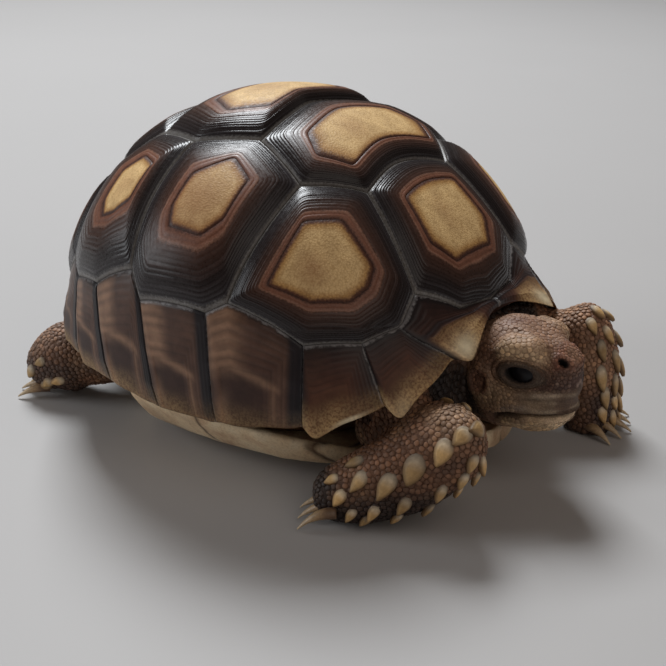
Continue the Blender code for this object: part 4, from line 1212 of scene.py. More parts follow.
# How far the head stands out or in from its plain form, in half shell lengths
def headRelief(places):
    f, s, u = headPlace(places)
    ring, b = eyeRing(places)
    sideOn = smooth(0.03, 0.08, s)
    # socket hollow, then the two lids round the opening, each with a fold behind it
    lower = smooth(0.010, -0.020, b)
    relief = -0.017 * smooth(3.3, 1.9, ring) * sideOn
    relief += (0.009 + 0.006 * lower) * bump(ring, 1.34, 0.34) * sideOn
    creases = 0.0032 * np.sin(ring * 13.0 + 1.5 * waves(places, 60.0, 24))
    relief += creases * smooth(1.3, 1.7, ring) * smooth(3.1, 2.3, ring) * sideOn
    # brow over the eye
    browHigh = browLine(f)
    onBrow = smooth(0.895, 0.965, f) * smooth(1.105, 1.035, f) * sideOn
    relief += headForm["brow"] * bump(u, browHigh - 0.004, 0.036) * onBrow
    relief -= 0.012 * bump(u, browHigh + 0.044, 0.014) * onBrow * smooth(0.06, 0.09, s)
    # crown swells behind, dips between the brows, ridge along the snout
    relief += 0.008 * bump(f, 0.88, 0.07) * smooth(0.34, 0.40, u)
    relief += 0.0013 * waves(places * (1.0, 2.2, 1.0), 120.0, 22) * smooth(0.33, 0.37, u)
    relief -= 0.012 * bump(s, 0.0, 0.06) * bump(f, 1.03, 0.06) * smooth(0.30, 0.36, u)
    relief += 0.008 * bump(s, 0.0, 0.035) * bump(f, 1.12, 0.035) * smooth(0.26, 0.32, u)
    relief -= 0.010 * bump(f, 1.085, 0.020) * bump(u, 0.315, 0.035) * sideOn
    # nostrils, in a raised rim
    away = nostrilAway(places)
    relief += 0.007 * bump(away, 0.026, 0.010)
    nf, ns, nu = headForm["nostril"]
    pad = np.sqrt((f - nf - 0.030) ** 2 + (s - ns + 0.030) ** 2 + (u - nu + 0.010) ** 2)
    relief += 0.009 * bump(pad, 0.0, 0.022)
    relief -= 0.026 * smooth(0.018, 0.005, away)
    # beak, mouth and lower jaw
    below = mouthHeight(f) - u
    relief -= 0.006 * smooth(-0.001, 0.010, below) * smooth(0.90, 0.97, f)
    relief -= 0.034 * bump(below, 0.006, 0.0065) * smooth(0.90, 0.96, f)
    relief -= 0.012 * smooth(0.0, 0.02, below) * smooth(1.11, 1.16, f)
    relief -= 0.024 * bump(below, 0.015, 0.014) * smooth(0.895, 0.925, f) * smooth(1.04, 0.98, f)
    relief += 0.008 * bump(below, 0.030, 0.020) * smooth(1.02, 1.10, f)
    relief += 0.008 * smooth(0.070, 0.035, u) * smooth(0.96, 1.03, f)
    relief -= 0.020 * smooth(0.205, 0.115, u) * smooth(-0.002, -0.010, below) * smooth(1.09, 1.16, f)
    relief += 0.010 * bump(below, -0.014, 0.016) * smooth(0.96, 1.06, f)
    relief -= 0.006 * bump(below, -0.046, 0.012) * smooth(0.98, 1.04, f) * smooth(1.14, 1.10, f)
    relief += 0.006 * bump(below, -0.070, 0.012) * smooth(0.96, 1.02, f) * smooth(1.14, 1.10, f)
    relief += 0.007 * bump(below, 0.040, 0.018) * smooth(0.92, 1.0, f)
    relief -= 0.005 * bump(below, 0.072, 0.010) * smooth(0.90, 0.98, f) * smooth(1.12, 1.06, f)
    # ear
    ear = earAway(f, u)
    relief -= 0.006 * smooth(0.036, 0.024, ear) * sideOn
    relief += 0.006 * bump(ear, 0.044, 0.010) * sideOn
    # creases
    relief += 0.0030 * waves(places * (1.0, 1.0, 1.6), 55.0, 21) * smooth(1.10, 1.0, f)
    return relief


# Folds of loose skin on the limbs and neck
def bodyRelief(places):
    name, share, angle, _ = onLimbs(places)
    relief = 0.0035 * waves(places, 30.0, 31) + 0.0016 * waves(places, 75.0, 32)
    for limb, folds, depth in (("armRight", 46.0, 0.0045), ("armLeft", 46.0, 0.0045), ("neck", 60.0, 0.004),
                               ("collar", 70.0, 0.005), ("thighLeft", 46.0, 0.0035)):
        wave = np.sin(share * folds + 1.2 * np.sin(angle * 2.0 + 1.0))
        relief = relief + np.where(name == limbNumbers[limb], depth * wave, 0.0)
    return relief


def opening(places):
    ring, _ = eyeRing(places)
    s = np.abs(places[:, 1] - flesh["headSide"])
    return smooth(1.06, 0.82, ring) * smooth(0.05, 0.09, s)


# Colours of skin and scales alike, from the place on the animal
def markings(places, outward):
    f, s, u = headPlace(places)
    count = len(places)
    base = np.tile((0.190, 0.098, 0.058), (count, 1))

    def lay(color, share):
        base[:] = base * (1.0 - share[:, None]) + np.array(color) * share[:, None]

    lay((0.33, 0.205, 0.125), smooth(-0.1, 0.5, waves(places, 38.0, 5)) * 0.7)
    lay((0.085, 0.048, 0.036), smooth(0.1, 0.6, waves(places, 60.0, 6)) * 0.5)
    # darker soles, and painted shade on downward-facing skin low down near the floor
    lay((0.045, 0.030, 0.024), smooth(-0.02, -0.13, u) * smooth(0.0, -0.6, outward[:, 2]) * 0.8)
    side = places[:, 1]
    palm = bump(f, 0.550, 0.085) * bump(side, 0.68, 0.12) * smooth(0.02, -0.04, u)
    lay((0.035, 0.023, 0.018), np.minimum(palm * 1.6, 1.0) * 0.92)
    # painted shade: the right forearm's downward-facing underside near the floor is near-black
    foreArm = smooth(0.38, 0.44, side) * smooth(0.52, 0.60, f)
    lay((0.024, 0.015, 0.014), foreArm * smooth(0.03, -0.06, u) * smooth(0.25, -0.15, outward[:, 2]) * 0.85)
    lay((0.42, 0.285, 0.190), bump(f, 0.95, 0.08) * bump(side, 0.46, 0.12) * smooth(0.10, 0.18, u) * 0.75)
    # painted light on the far foreleg, lighter overall and on its upper part, with painted shade near-black
    # low down by the floor
    farLegLitAndShaded = smooth(-0.40, -0.46, side) * smooth(0.78, 0.84, f)
    lay((0.34, 0.190, 0.120), farLegLitAndShaded * 0.55)
    lay((0.40, 0.225, 0.110), farLegLitAndShaded * bump(f, 0.86, 0.08) * smooth(0.20, 0.26, u) * 0.35)
    lay((0.028, 0.018, 0.018), farLegLitAndShaded * smooth(0.03, -0.07, u) * 0.85)
    # painted light and shade at the rear: skin above the floor is lightened, skin low down by the floor is
    # darkened
    lay((0.27, 0.165, 0.115), smooth(-0.72, -0.80, f) * smooth(0.08, 0.14, u) * 0.7)
    lay((0.060, 0.036, 0.028), smooth(-0.72, -0.80, f) * smooth(0.11, 0.03, u) * 0.85)
    # painted shade: near-black skin inside the shell's front opening, round the neck and shoulders
    inShellShade = smooth(0.84, 0.76, np.hypot(f, side / shellForm["widthRatio"])) * smooth(0.50, 0.62, f)
    lay((0.018, 0.011, 0.010), inShellShade * smooth(0.02, 0.09, u) * 0.92)
    # painted shade: near-black skin deep in the front opening beside the neck
    deepShade = (smooth(0.87, 0.82, f) * smooth(0.42, 0.36, np.abs(side)) * smooth(0.165, 0.19, s)
            * smooth(0.60, 0.66, f))
    lay((0.015, 0.010, 0.009), deepShade * smooth(-0.02, 0.04, u) * 0.93)
    # painted shade: dark skin beside the head, under the shell's front rim
    shadeBesideHead = smooth(0.72, 0.78, f) * smooth(0.90, 0.84, f) * smooth(0.32, 0.25, s) * smooth(0.31, 0.23, u)
    lay((0.026, 0.016, 0.014), shadeBesideHead * 0.85)
    onHead = smooth(0.76, 0.82, f) * smooth(0.27, 0.24, s)
    ring, b = eyeRing(places)
    besideNose = smooth(0.05, 0.09, s)
    lay((0.175, 0.095, 0.062), onHead)
    # behind is the skin behind the head's back edge, which gets painted shade further down
    behind = smooth(0.868, 0.828, f + 0.4 * (u - 0.15)) * smooth(0.10, 0.14, s) * smooth(0.31, 0.25, u)
    lay((0.35, 0.250, 0.160), onHead * bump(u, 0.18, 0.07) * smooth(1.08, 0.98, f) * 0.75)
    lay((0.27, 0.158, 0.104), onHead * smooth(0.31, 0.37, u))
    lay((0.16, 0.075, 0.050), onHead * smooth(0.15, 0.6, waves(places, 55.0, 8)) * smooth(0.30, 0.36, u)
        * 0.65)
    brow = browShare(f, u) * besideNose
    lay((0.62, 0.45, 0.290), onHead * brow)
    ear = earAway(f, u)
    lay((0.200, 0.100, 0.070), onHead * smooth(0.046, 0.036, ear) * besideNose * 0.8)
    # painted shade: near-black skin behind the head, under the shell
    lay((0.016, 0.010, 0.009), behind * smooth(0.68, 0.74, f) * smooth(0.45, 0.38, np.abs(side)) * 0.93)
    lay((0.20, 0.078, 0.050), onHead * smooth(1.09, 1.12, f) * smooth(0.265, 0.295, u) * 0.8)
    # painted shade on the snout's front face below the nose, with pale streaks laid over it
    belowNose = onHead * smooth(1.09, 1.13, f) * bump(u, 0.225, 0.045)
    lay((0.080, 0.048, 0.042), belowNose * 0.85)
    lay((0.42, 0.32, 0.27), belowNose * smooth(0.30, 0.6, waves(places, 150.0, 14)) * 0.75)
    lay((0.045, 0.026, 0.024), onHead * bump(f, 1.085, 0.030) * bump(u, 0.235, 0.035) * 0.8)
    lay((0.095, 0.058, 0.045), onHead * bump(u, 0.203, 0.016) * smooth(0.97, 1.02, f)
        * smooth(1.12, 1.07, f) * 0.6)
    lay((0.36, 0.23, 0.15), onHead * bump(s, 0.0, 0.05) * smooth(1.10, 1.14, f) * smooth(0.27, 0.31, u) * 0.6)
    lay((0.070, 0.049, 0.037), onHead * smooth(2.05, 1.45, ring) * besideNose * 0.85)
    lay((0.105, 0.082, 0.062), onHead * bump(ring, 1.40, 0.24) * besideNose * 0.45)
    lay((0.17, 0.145, 0.110), onHead * bump(ring, 1.75, 0.18) * smooth(0.005, -0.020, b) * besideNose * 0.35)
    # painted shade: the skin turning into the eye's pocket is near-black
    lay((0.016, 0.014, 0.013), onHead * smooth(1.12, 1.0, ring) * besideNose)
    below = mouthHeight(f) - u
    beak = onHead * smooth(0.004, 0.0, below) * smooth(0.215, 0.185, u) * smooth(0.98, 1.05, f)
    lay((0.270, 0.205, 0.140), beak * 0.9)
    # painted shade: the beak's front is darker
    lay((0.110, 0.066, 0.050), beak * smooth(1.09, 1.14, f) * 0.7)
    streak = smooth(0.0, 0.7, waves(places * (1.0, 1.0, 3.2), 45.0, 9))
    lay((0.46, 0.385, 0.280), beak * streak * 0.6)
    lay((0.050, 0.034, 0.028), beak * smooth(0.2, 0.8, waves(places * (0.8, 0.8, 3.5), 52.0, 10)) * 0.6)
    lay((0.55, 0.460, 0.350), beak * bump(u, 0.196, 0.009) * smooth(1.04, 1.07, f)
        * smooth(1.15, 1.12, f) * 0.85)
    lay((0.26, 0.215, 0.180), onHead * bump(below, -0.024, 0.009) * smooth(0.93, 0.96, f)
        * smooth(1.06, 1.02, f) * 0.8)
    lay((0.58, 0.430, 0.275), onHead * smooth(0.004, 0.014, below) * smooth(0.90, 0.97, f))
    lay((0.75, 0.590, 0.410), onHead * smooth(0.004, 0.014, below) * smooth(1.06, 1.12, f) * 0.8)
    lay((0.23, 0.150, 0.110), onHead * smooth(0.2, 0.7, waves(places, 42.0, 12))
        * smooth(0.01, 0.03, below) * 0.5)
    lay((0.20, 0.120, 0.065), onHead * smooth(0.075, 0.10, below) * smooth(0.90, 0.97, f) * 0.6)
    # painted shade: near-black along the mouth's groove
    lay((0.014, 0.009, 0.008), onHead * bump(below, 0.006, 0.008) * smooth(0.91, 0.95, f))
    # painted shade: near-black in the hollow at the mouth's corner
    corner = bump(below, 0.015, 0.016) * smooth(0.895, 0.925, f) * smooth(1.04, 0.98, f)
    lay((0.014, 0.009, 0.008), onHead * corner * 0.95)
    # painted shade: near-black in the nostril pits
    lay((0.008, 0.004, 0.004), onHead * smooth(0.021, 0.014, nostrilAway(places)))
    return base


def giveColor(piece, name, colors):
    attribute = piece.data.color_attributes.new(name, "FLOAT_COLOR", "POINT")
    rgba = np.ones((len(colors), 4), dtype=np.float32)
    rgba[:, :3] = colors
    attribute.data.foreach_set("color", rgba.ravel())


def buildSkin(finish):
    piece = skinBase(finish)
    relax(piece, 4, 0.5)
    for closeness in (0, 1):
        places = fromWorld(meshArrays(piece.data)[0])
        aside = np.abs(places[:, 1] - flesh["headSide"])
        if closeness == 0:
            wanted = (places[:, 0] > 0.80) & (aside < 0.20) & (places[:, 2] > -0.03)
        else:
            ring, _ = eyeRing(places)
            nearMouth = (np.abs(mouthHeight(places[:, 0]) - places[:, 2]) < 0.032) & (places[:, 0] > 0.93)
            nearEye = (ring < 2.6) & (aside > 0.08)
            nearFeature = nearEye | nearMouth | (nostrilAway(places) < 0.045)
            wanted = nearFeature & (places[:, 0] > 0.8) & (aside < 0.20)
        splitFaces(piece, wanted)
        relax(piece, 2, 0.5)
    world, normals = meshArrays(piece.data)
    places = fromWorld(world)
    onHead = smooth(0.78, 0.84, places[:, 0]) * (np.abs(places[:, 1] - flesh["headSide"]) < 0.205)
    onHead = onHead * (places[:, 2] > -0.04)
    unit = body["halfLength"]
    relief = headRelief(places) * onHead + bodyRelief(places) * (1.0 - onHead)
    world = world + normals * (relief * unit)[:, None]
    inward = np.zeros_like(world)
    inward[:, 0] = np.sign(places[:, 1] - flesh["headSide"])
    world += inward * (opening(places) * onHead * headForm["eyeDeep"] * unit)[:, None]
    world[:, 2] = np.maximum(world[:, 2], 0.0)
    marks = markings(places, normals)
    piece.data.vertices.foreach_set("co", world.ravel())
    piece.data.update()
    piece.data.shade_smooth()
    giveColor(piece, "marking", marks)
    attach(piece, "root")
    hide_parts("head", "neck", "trunk", "tail", "leg_front_right", "leg_front_left",
                "leg_rear_right", "leg_rear_left")
    print("skin:", len(piece.data.polygons), "faces")
    return piece


def eyeFinish():
    finish, tree, shader = newFinish("eye", 0.34, 0.22)
    tone = rampNode(tree, noiseNode(tree, 900.0), [(0.3, (0.0035, 0.004, 0.006)),
                                                   (0.7, (0.009, 0.008, 0.009))])
    tree.links.new(tone, shader.inputs["Base Color"])
    return finish


def buildEyes(finish):
    forward, up = headForm["eye"]
    for side, sign in (("right", 1.0), ("left", -1.0)):
        work = bmesh.new()
        bmesh.ops.create_icosphere(work, subdivisions=5, radius=headForm["ballRadius"] * body["halfLength"])
        mesh = bpy.data.meshes.new(f"eyeball_{side}")
        work.to_mesh(mesh)
        work.free()
        middle = toWorld((forward, flesh["headSide"] + sign * headForm["ballSide"], up))[0]
        mesh.transform(Matrix.Translation(Vector(middle)))
        mesh.shade_smooth()
        mesh.materials.append(finish)
        ball = addObject(f"eyeball_{side}", mesh)
        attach(ball, "root")
        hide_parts(f"eye_{side}")


buildBelly(bellyFinish())
skin = buildSkin(skinFinish())
buildEyes(eyeFinish())


# Scales over the skin, and where each coat's patches lie on the unwrap: (left, bottom, width, height)
coats = {
    "head": {"limbs": ("head",), "sheet": (0.02, 0.52, 0.40, 0.45), "sides": 12, "seed": 11},
    "neck": {"limbs": ("neck", "collar", "rump"), "sheet": (0.46, 0.52, 0.24, 0.45), "sides": 9, "seed": 12},
    "tail": {"limbs": ("tail",), "sheet": (0.74, 0.52, 0.22, 0.20), "sides": 9, "seed": 13},
    "leg_front_right": {"limbs": ("armRight", "forearmRight"), "sheet": (0.02, 0.02, 0.22, 0.46),
                        "sides": 9, "seed": 14},
    "leg_front_left": {"limbs": ("armLeft", "forearmLeft"), "sheet": (0.27, 0.02, 0.22, 0.46),
                       "sides": 9, "seed": 15},
    "leg_rear_right": {"limbs": ("legRight",), "sheet": (0.52, 0.02, 0.22, 0.46), "sides": 10, "seed": 16},
    "leg_rear_left": {"limbs": ("thighLeft", "footLeft"), "sheet": (0.76, 0.02, 0.22, 0.46),
                      "sides": 10, "seed": 17},
}
scaleForm = {"cover": 0.93, "tightCover": 0.99, "height": 0.38, "tilt": 0.08, "patch": 0.003,
             "shownFrom": 0.640}


limbScales = {"neck": 0.0100, "collar": 0.0130, "rump": 0.0130, "tail": 0.0110,
              "armRight": 0.0098, "armLeft": 0.0098, "thighLeft": 0.0098}


# Half the spacing of the small scales, in half shell lengths
def scaleSize(places, name):
    size = np.full(len(places), 0.0096)
    f, u = places[:, 0], places[:, 2]
    onHead = name == limbNumbers["head"]
    ring, _ = eyeRing(places)
    brow = browShare(f, u)
    headSize = 0.0074 + 0.0012 * waves(places, 30.0, 41) + 0.0012 * smooth(0.335, 0.375, u)
    headSize = headSize - 0.0030 * smooth(3.0, 1.8, ring) - 0.0014 * smooth(1.05, 1.10, f)
    headSize = headSize + 0.0016 * brow + 0.0015 * smooth(0.10, 0.02, u)
    size = np.where(onHead, headSize, size)
    for limb, limbSize in limbScales.items():
        size = np.where(name == limbNumbers[limb], limbSize, size)
    return size


# Height of the small scales over their half width: flat plates on the crown, bumps on the brow
def scaleRise(places, name):
    f, u = places[:, 0], places[:, 2]
    onHead = name == limbNumbers["head"]
    brow = browShare(f, u)
    headRise = 0.20 + 0.08 * brow - 0.115 * smooth(0.335, 0.375, u) * (1.0 - brow)
    headRise = headRise + 0.16 * smooth(1.06, 1.10, f) * smooth(0.29, 0.26, u)
    return np.where(onHead, headRise, scaleForm["height"])


def bare(places, name):
    f, s, u = headPlace(places)
    onHead = name == limbNumbers["head"]
    ring, _ = eyeRing(places)
    atEye = (ring < 1.55) & (s > 0.06)
    below = mouthHeight(f) - u
    atMouth = (np.abs(below - 0.007) < 0.020) & (f > 0.89)
    beak = (below < 0.0) & (u < 0.205) & (f > 1.00)
    lowerBeak = (below > 0.0) & (below < 0.040) & (f > 1.02)
    atNose = nostrilAway(places) < 0.025
    front = (f > 1.160) & (u < 0.25)
    hidden = np.hypot(f, places[:, 1] / shellForm["widthRatio"]) < scaleForm["shownFrom"]
    loose = (name == limbNumbers["collar"]) | (name == limbNumbers["rump"])
    hidden |= loose & ((np.abs(f) < 0.645) | (places[:, 2] < 0.02) | (f < -0.70))
    return (onHead & (atEye | atMouth | beak | lowerBeak | atNose | front)) | hidden


def seedPlaces(seed):
    mesh = skin.data
    mesh.calc_loop_triangles()
    corners = np.empty(len(mesh.loop_triangles) * 3, dtype=np.int64)
    mesh.loop_triangles.foreach_get("vertices", corners)
    corners = corners.reshape(-1, 3)
    verts, normals = meshArrays(mesh)
    middles = fromWorld(verts[corners].mean(axis=1))
    name, _, _, _ = onLimbs(middles)
    size = scaleSize(middles, name)
    wanted = ~bare(middles, name)
    wanted &= verts[corners][:, :, 2].mean(axis=1) > 0.0005
    corners, size = corners[wanted], size[wanted]
    sides = verts[corners]
    area = np.linalg.norm(np.cross(sides[:, 1] - sides[:, 0], sides[:, 2] - sides[:, 0]), axis=1) / 2.0
    weight = area / (size * body["halfLength"]) ** 2
    draw = np.random.default_rng(seed)
    count = int(weight.sum() * 3.0)
    picked = draw.choice(len(corners), count, p=weight / weight.sum())
    first, second = np.sqrt(draw.random(count)), draw.random(count)
    mix = np.column_stack((1.0 - first, first * (1.0 - second), first * second))[:, :, None]
    places = (verts[corners[picked]] * mix).sum(axis=1)
    outward = (normals[corners[picked]] * mix).sum(axis=1)
    outward /= np.linalg.norm(outward, axis=1)[:, None]
    return places, outward


def placeTree(places):
    tree = KDTree(len(places))
    for i, place in enumerate(places):
        tree.insert(place, i)
    tree.balance()
    return tree


def thinOut(places, spacing, taken):
    tree = placeTree(places)
    alive = np.ones(len(places), dtype=bool)
    for place, reach in taken:
        for _, j, _ in tree.find_range(place, reach):
            alive[j] = False
    kept = []
    for i in range(len(places)):
        if not alive[i]:
            continue
        kept.append(i)
        for _, j, _ in tree.find_range(places[i], spacing[i]):
            alive[j] = False
    return np.array(kept)


# Outline of each scale: the ground closer to it than to its neighbours
def cellOutlines(places, outward, forward, size, sides):
    tree = placeTree(places)
    across = np.cross(outward, forward)
    turn = circle(sides)
    reach = np.repeat((size * 1.30)[:, None], sides, axis=1)
    neighbours = np.array([[j for _, j, _ in tree.find_n(place, 12)][1:] for place in places])
    gap = places[neighbours] - places[:, None, :]
    x = (gap * forward[:, None, :]).sum(axis=2)
    y = (gap * across[:, None, :]).sum(axis=2)
    distance = np.hypot(x, y) + 1e-9
    heading = np.arctan2(y, x)
    portion = size[:, None] / (size[:, None] + size[neighbours])
    for k in range(neighbours.shape[1]):
        facing = np.cos(turn[None, :] - heading[:, k][:, None])
        bound = np.where(facing > 0.15,
                         (distance[:, k] * portion[:, k])[:, None] / np.maximum(facing, 0.15), 1.0)
        reach = np.minimum(reach, bound)
    reach = reach * 0.6 + (np.roll(reach, 1, axis=1) + np.roll(reach, -1, axis=1)) * 0.2
    return reach, across, turn


class CoatMesh:
    def __init__(self):
        self.verts, self.faces, self.uvs, self.edge, self.tone, self.marks = [], [], [], [], [], []
        self.total = 0

    def add(self, verts, faces, uvs, edge, tone, marks):
        self.verts.append(verts)
        self.faces.append(faces + self.total)
        self.uvs.append(uvs)
        self.edge.append(edge)
        self.tone.append(tone)
        self.marks.append(marks)
        self.total += len(verts)

    def finish(self, name, slot, finish):
        verts = np.concatenate(self.verts)
        faces = np.concatenate(self.faces)
        mesh = bpy.data.meshes.new(name)
        mesh.vertices.add(len(verts))
        mesh.vertices.foreach_set("co", verts.ravel())
        mesh.loops.add(len(faces) * 3)
        mesh.loops.foreach_set("vertex_index", faces.ravel())
        mesh.polygons.add(len(faces))
        mesh.polygons.foreach_set("loop_start", np.arange(len(faces)) * 3)
        mesh.update(calc_edges=True)
        mesh.validate()
        mesh.shade_smooth()
        mesh.materials.append(finish)
        piece = addObject(name, mesh)
        layer = mesh.uv_layers.new(name="OFBake")
        corners = np.empty(len(mesh.loops), dtype=np.int64)
        mesh.loops.foreach_get("vertex_index", corners)
        layer.data.foreach_set("uv", np.concatenate(self.uvs)[corners].ravel())
        giveValue(piece, "edge", np.concatenate(self.edge))
        giveValue(piece, "tone", np.concatenate(self.tone))
        giveColor(piece, "marking", np.concatenate(self.marks))
        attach(piece, "root")
        print(name, len(faces), "faces")


def scaleFaces(rows, sides):
    ring = np.arange(sides)
    following = (ring + 1) % sides
    faces = []
    for row in range(rows - 1):
        a, b = row * sides + ring, row * sides + following
        c, d = (row + 1) * sides + following, (row + 1) * sides + ring
        faces += [np.column_stack((a, b, c)), np.column_stack((a, c, d))]
    last = (rows - 1) * sides
    faces.append(np.column_stack((last + ring, last + following, np.full(sides, rows * sides))))
    faces.append(np.column_stack((following, ring, np.full(sides, rows * sides + 1))))
    return np.concatenate(faces)


def sheetPlace(sheet, share, angle):
    left, bottom, width, height = sheet
    return np.column_stack((left + width * (angle / (2.0 * math.pi) + 0.5), bottom + height * share))


# Small scales of one coat
def addSmallScales(coat, facts, places, outward, size, rise, share, angle, lie, marks):
    sides = facts["sides"]
    forward = lie - outward * (lie * outward).sum(axis=1)[:, None]
    forward /= np.linalg.norm(forward, axis=1)[:, None]
    reach, across, turn = cellOutlines(places, outward, forward, size, sides)
    spread = np.clip(rise / 0.25, 0.25, 1.0)        # flat plates lie tight and differ less in tone
    cover = scaleForm["tightCover"] + (scaleForm["cover"] - scaleForm["tightCover"]) * spread
    reach = reach * cover[:, None]
    height = size * rise
    draw = np.random.default_rng(facts["seed"])
    height = height * draw.uniform(0.75, 1.25, len(places))
    tilt = (scaleForm["tilt"] * draw.uniform(0.4, 1.6, len(places))
            * np.minimum(rise / scaleForm["height"], 1.0))
    # each ring's last number is its edge value, which the finish turns into painted shade low on the scale
    rings = ((1.0, -0.55, 1.0), (1.0, 0.10, 0.95), (0.86, 0.72, 0.55), (0.50, 0.98, 0.15))
    verts, edges = [], []
    c, s = np.cos(turn), np.sin(turn)
    for width, up, edge in rings:
        x, y = reach * c * width, reach * s * width
        rise = height[:, None] * up + (x * tilt[:, None] if up > 0.0 else 0.0)
        verts.append(places[:, None] + forward[:, None] * x[..., None] + across[:, None] * y[..., None]
                     + outward[:, None] * rise[..., None])
        edges.append(edge * spread[:, None] * np.ones((1, sides)))
    top = places + outward * (height * 1.05)[:, None]
    foot = places - outward * (height * 0.55)[:, None]
    block = np.concatenate((*verts, top[:, None], foot[:, None]), axis=1)
    block[..., 2] = np.maximum(block[..., 2], 0.0)
    per = block.shape[1]
    offsets = (np.arange(len(places)) * per)[:, None, None]
    faces = (scaleFaces(len(rings), sides)[None] + offsets).reshape(-1, 3)
    root = sheetPlace(facts["sheet"], share, angle)
    local = block - places[:, None]
    radius = reach.max(axis=1)[:, None]
    across2 = (local * forward[:, None]).sum(axis=2) / radius
    along2 = (local * across[:, None]).sum(axis=2) / radius
    uvs = root[:, None, :] + np.stack((across2, along2), axis=2) * scaleForm["patch"] / 2.0
    edge = np.concatenate((*edges, np.zeros((len(places), 1)), np.ones((len(places), 1))), axis=1)
    tone = np.repeat(0.5 + (draw.random(len(places)) - 0.5) * spread, per)
    coat.add(block.reshape(-1, 3), faces, uvs.reshape(-1, 2), edge.ravel(), tone,
             np.repeat(marks, per, axis=0))


# Large pointed scales. Each row: limb, shares along it, angles round it, half lengths, half
# widths, how far the tips stand out, turn of the tips off the limb's line (degrees)
bigScales = {
    "leg_front_right": (
        ("forearmRight", (0.03, 0.14, 0.25, 0.38, 0.50, 0.60, 0.72), (58, 34, 18, 18, 12, 34, 14),
         (0.038, 0.036, 0.046, 0.054, 0.050, 0.040, 0.036), (0.028, 0.028, 0.033, 0.036, 0.031, 0.026, 0.022),
         0.30, 34.0),
        ("forearmRight", (0.14, 0.24, 0.36, 0.48, 0.60, 0.70), (-28, -48, -42, -32, -30, -26),
         (0.034, 0.036, 0.034, 0.036, 0.034, 0.030), (0.019, 0.019, 0.018, 0.020, 0.018, 0.017), 0.55, 30.0),
        ("forearmRight", (0.08, 0.20, 0.32, 0.44, 0.56, 0.68), (-65, -78, -75, -68, -66, -60),
         (0.034, 0.034, 0.032, 0.034, 0.030, 0.028), (0.018, 0.018, 0.017, 0.018, 0.017, 0.016), 0.60, 20.0),
        ("forearmRight", (0.60, 0.74), (66, 50), (0.036, 0.028), (0.022, 0.018), 0.30, 8.0),
        ("armRight", (0.62, 0.78), (62, 50), (0.030, 0.034), (0.018, 0.017), 0.45, -20.0),
        ("forearmRight", (0.25, 0.40, 0.55, 0.70), (-112, -108, -104, -100),
         (0.028, 0.028, 0.026, 0.024), (0.018, 0.018, 0.017, 0.016), 0.45, 0.0),
    ),
    "leg_front_left": (
        ("forearmLeft", (0.20, 0.34, 0.48, 0.62, 0.76), (128, 122, 130, 124, 130),
         (0.038, 0.046, 0.050, 0.046, 0.038), (0.022, 0.024, 0.024, 0.023, 0.022), 0.30, 0.0),
        ("forearmLeft", (0.14, 0.28, 0.42, 0.56, 0.70, 0.84), (92, 96, 90, 96, 90, 95),
         (0.036, 0.044, 0.048, 0.046, 0.040, 0.036), (0.022, 0.024, 0.024, 0.024, 0.024, 0.024), 0.30, 0.0),
        ("forearmLeft", (0.20, 0.34, 0.48, 0.62, 0.74, 0.86), (60, 56, 60, 56, 60, 56),
         (0.036, 0.042, 0.044, 0.044, 0.044, 0.036), (0.021, 0.023, 0.023, 0.023, 0.023, 0.022), 0.45, 0.0),
        ("forearmLeft", (0.28, 0.42, 0.56, 0.70, 0.84), (24, 20, 24, 20, 24),
         (0.036, 0.040, 0.042, 0.042, 0.036), (0.020, 0.022, 0.022, 0.022, 0.020), 0.50, 0.0),
        ("forearmLeft", (0.34, 0.50, 0.66, 0.82), (-12, -10, -12, -10),
         (0.034, 0.038, 0.038, 0.034), (0.020, 0.021, 0.021, 0.020), 0.45, 0.0),
    ),
    "leg_rear_right": (
        ("legRight", (0.66, 0.80, 0.93), (-25, -20, -20), (0.030, 0.034, 0.034), (0.020, 0.022, 0.022),
         0.35, 0.0),
        ("legRight", (0.72, 0.88), (20, 22), (0.028, 0.032), (0.020, 0.022), 0.30, 0.0),
    ),
    "leg_rear_left": (
        ("footLeft", (0.50, 0.72, 0.90), (110, 112, 108), (0.030, 0.034, 0.034), (0.020, 0.022, 0.022),
         0.35, 0.0),
        ("footLeft", (0.60, 0.82), (150, 150), (0.028, 0.032), (0.020, 0.022), 0.30, 0.0),
    ),
}
bigScaleForm = {"sides": 30, "rings": 11, "thickness": 0.0085, "dome": 0.46, "ripple": 0.020}


def skinUnder(limb, share, degrees):
    centres, up, _ = limbLines[limb]
    along, across, above = limbFrames(centres, up)
    mark = share * (len(centres) - 1.0)
    centre = np.array([np.interp(mark, np.arange(len(centres)), centres[:, k]) for k in range(3)])
    near = int(round(mark))
    turn = math.radians(degrees)
    out = across[near] * math.cos(turn) + above[near] * math.sin(turn)
    start, end = toWorld(np.array((centre, centre + out * 0.3)))
    way = Vector(end - start).normalized()
    hit, normal, _, _ = skinTree.ray_cast(Vector(start), way)
    return np.array(hit), np.array(normal), toWorldWay(along[near])


def toWorldWay(way):
    step = toWorld(np.array(((0.0, 0.0, 0.5), np.array((0.0, 0.0, 0.5)) + np.asarray(way) * 0.1)))
    way = step[1] - step[0]
    return way / np.linalg.norm(way)


def bigScalePlaces(name):
    found = []
    for limb, shares, angles, lengths, widths, lift, turn in bigScales.get(name, ()):
        for share, degrees, length, width in zip(shares, angles, lengths, widths):
            place, outward, along = skinUnder(limb, share, degrees)
            if place[2] > 0.0008:
                found.append((place, outward, along, length, width, lift, turn, share, math.radians(degrees)))
    return found


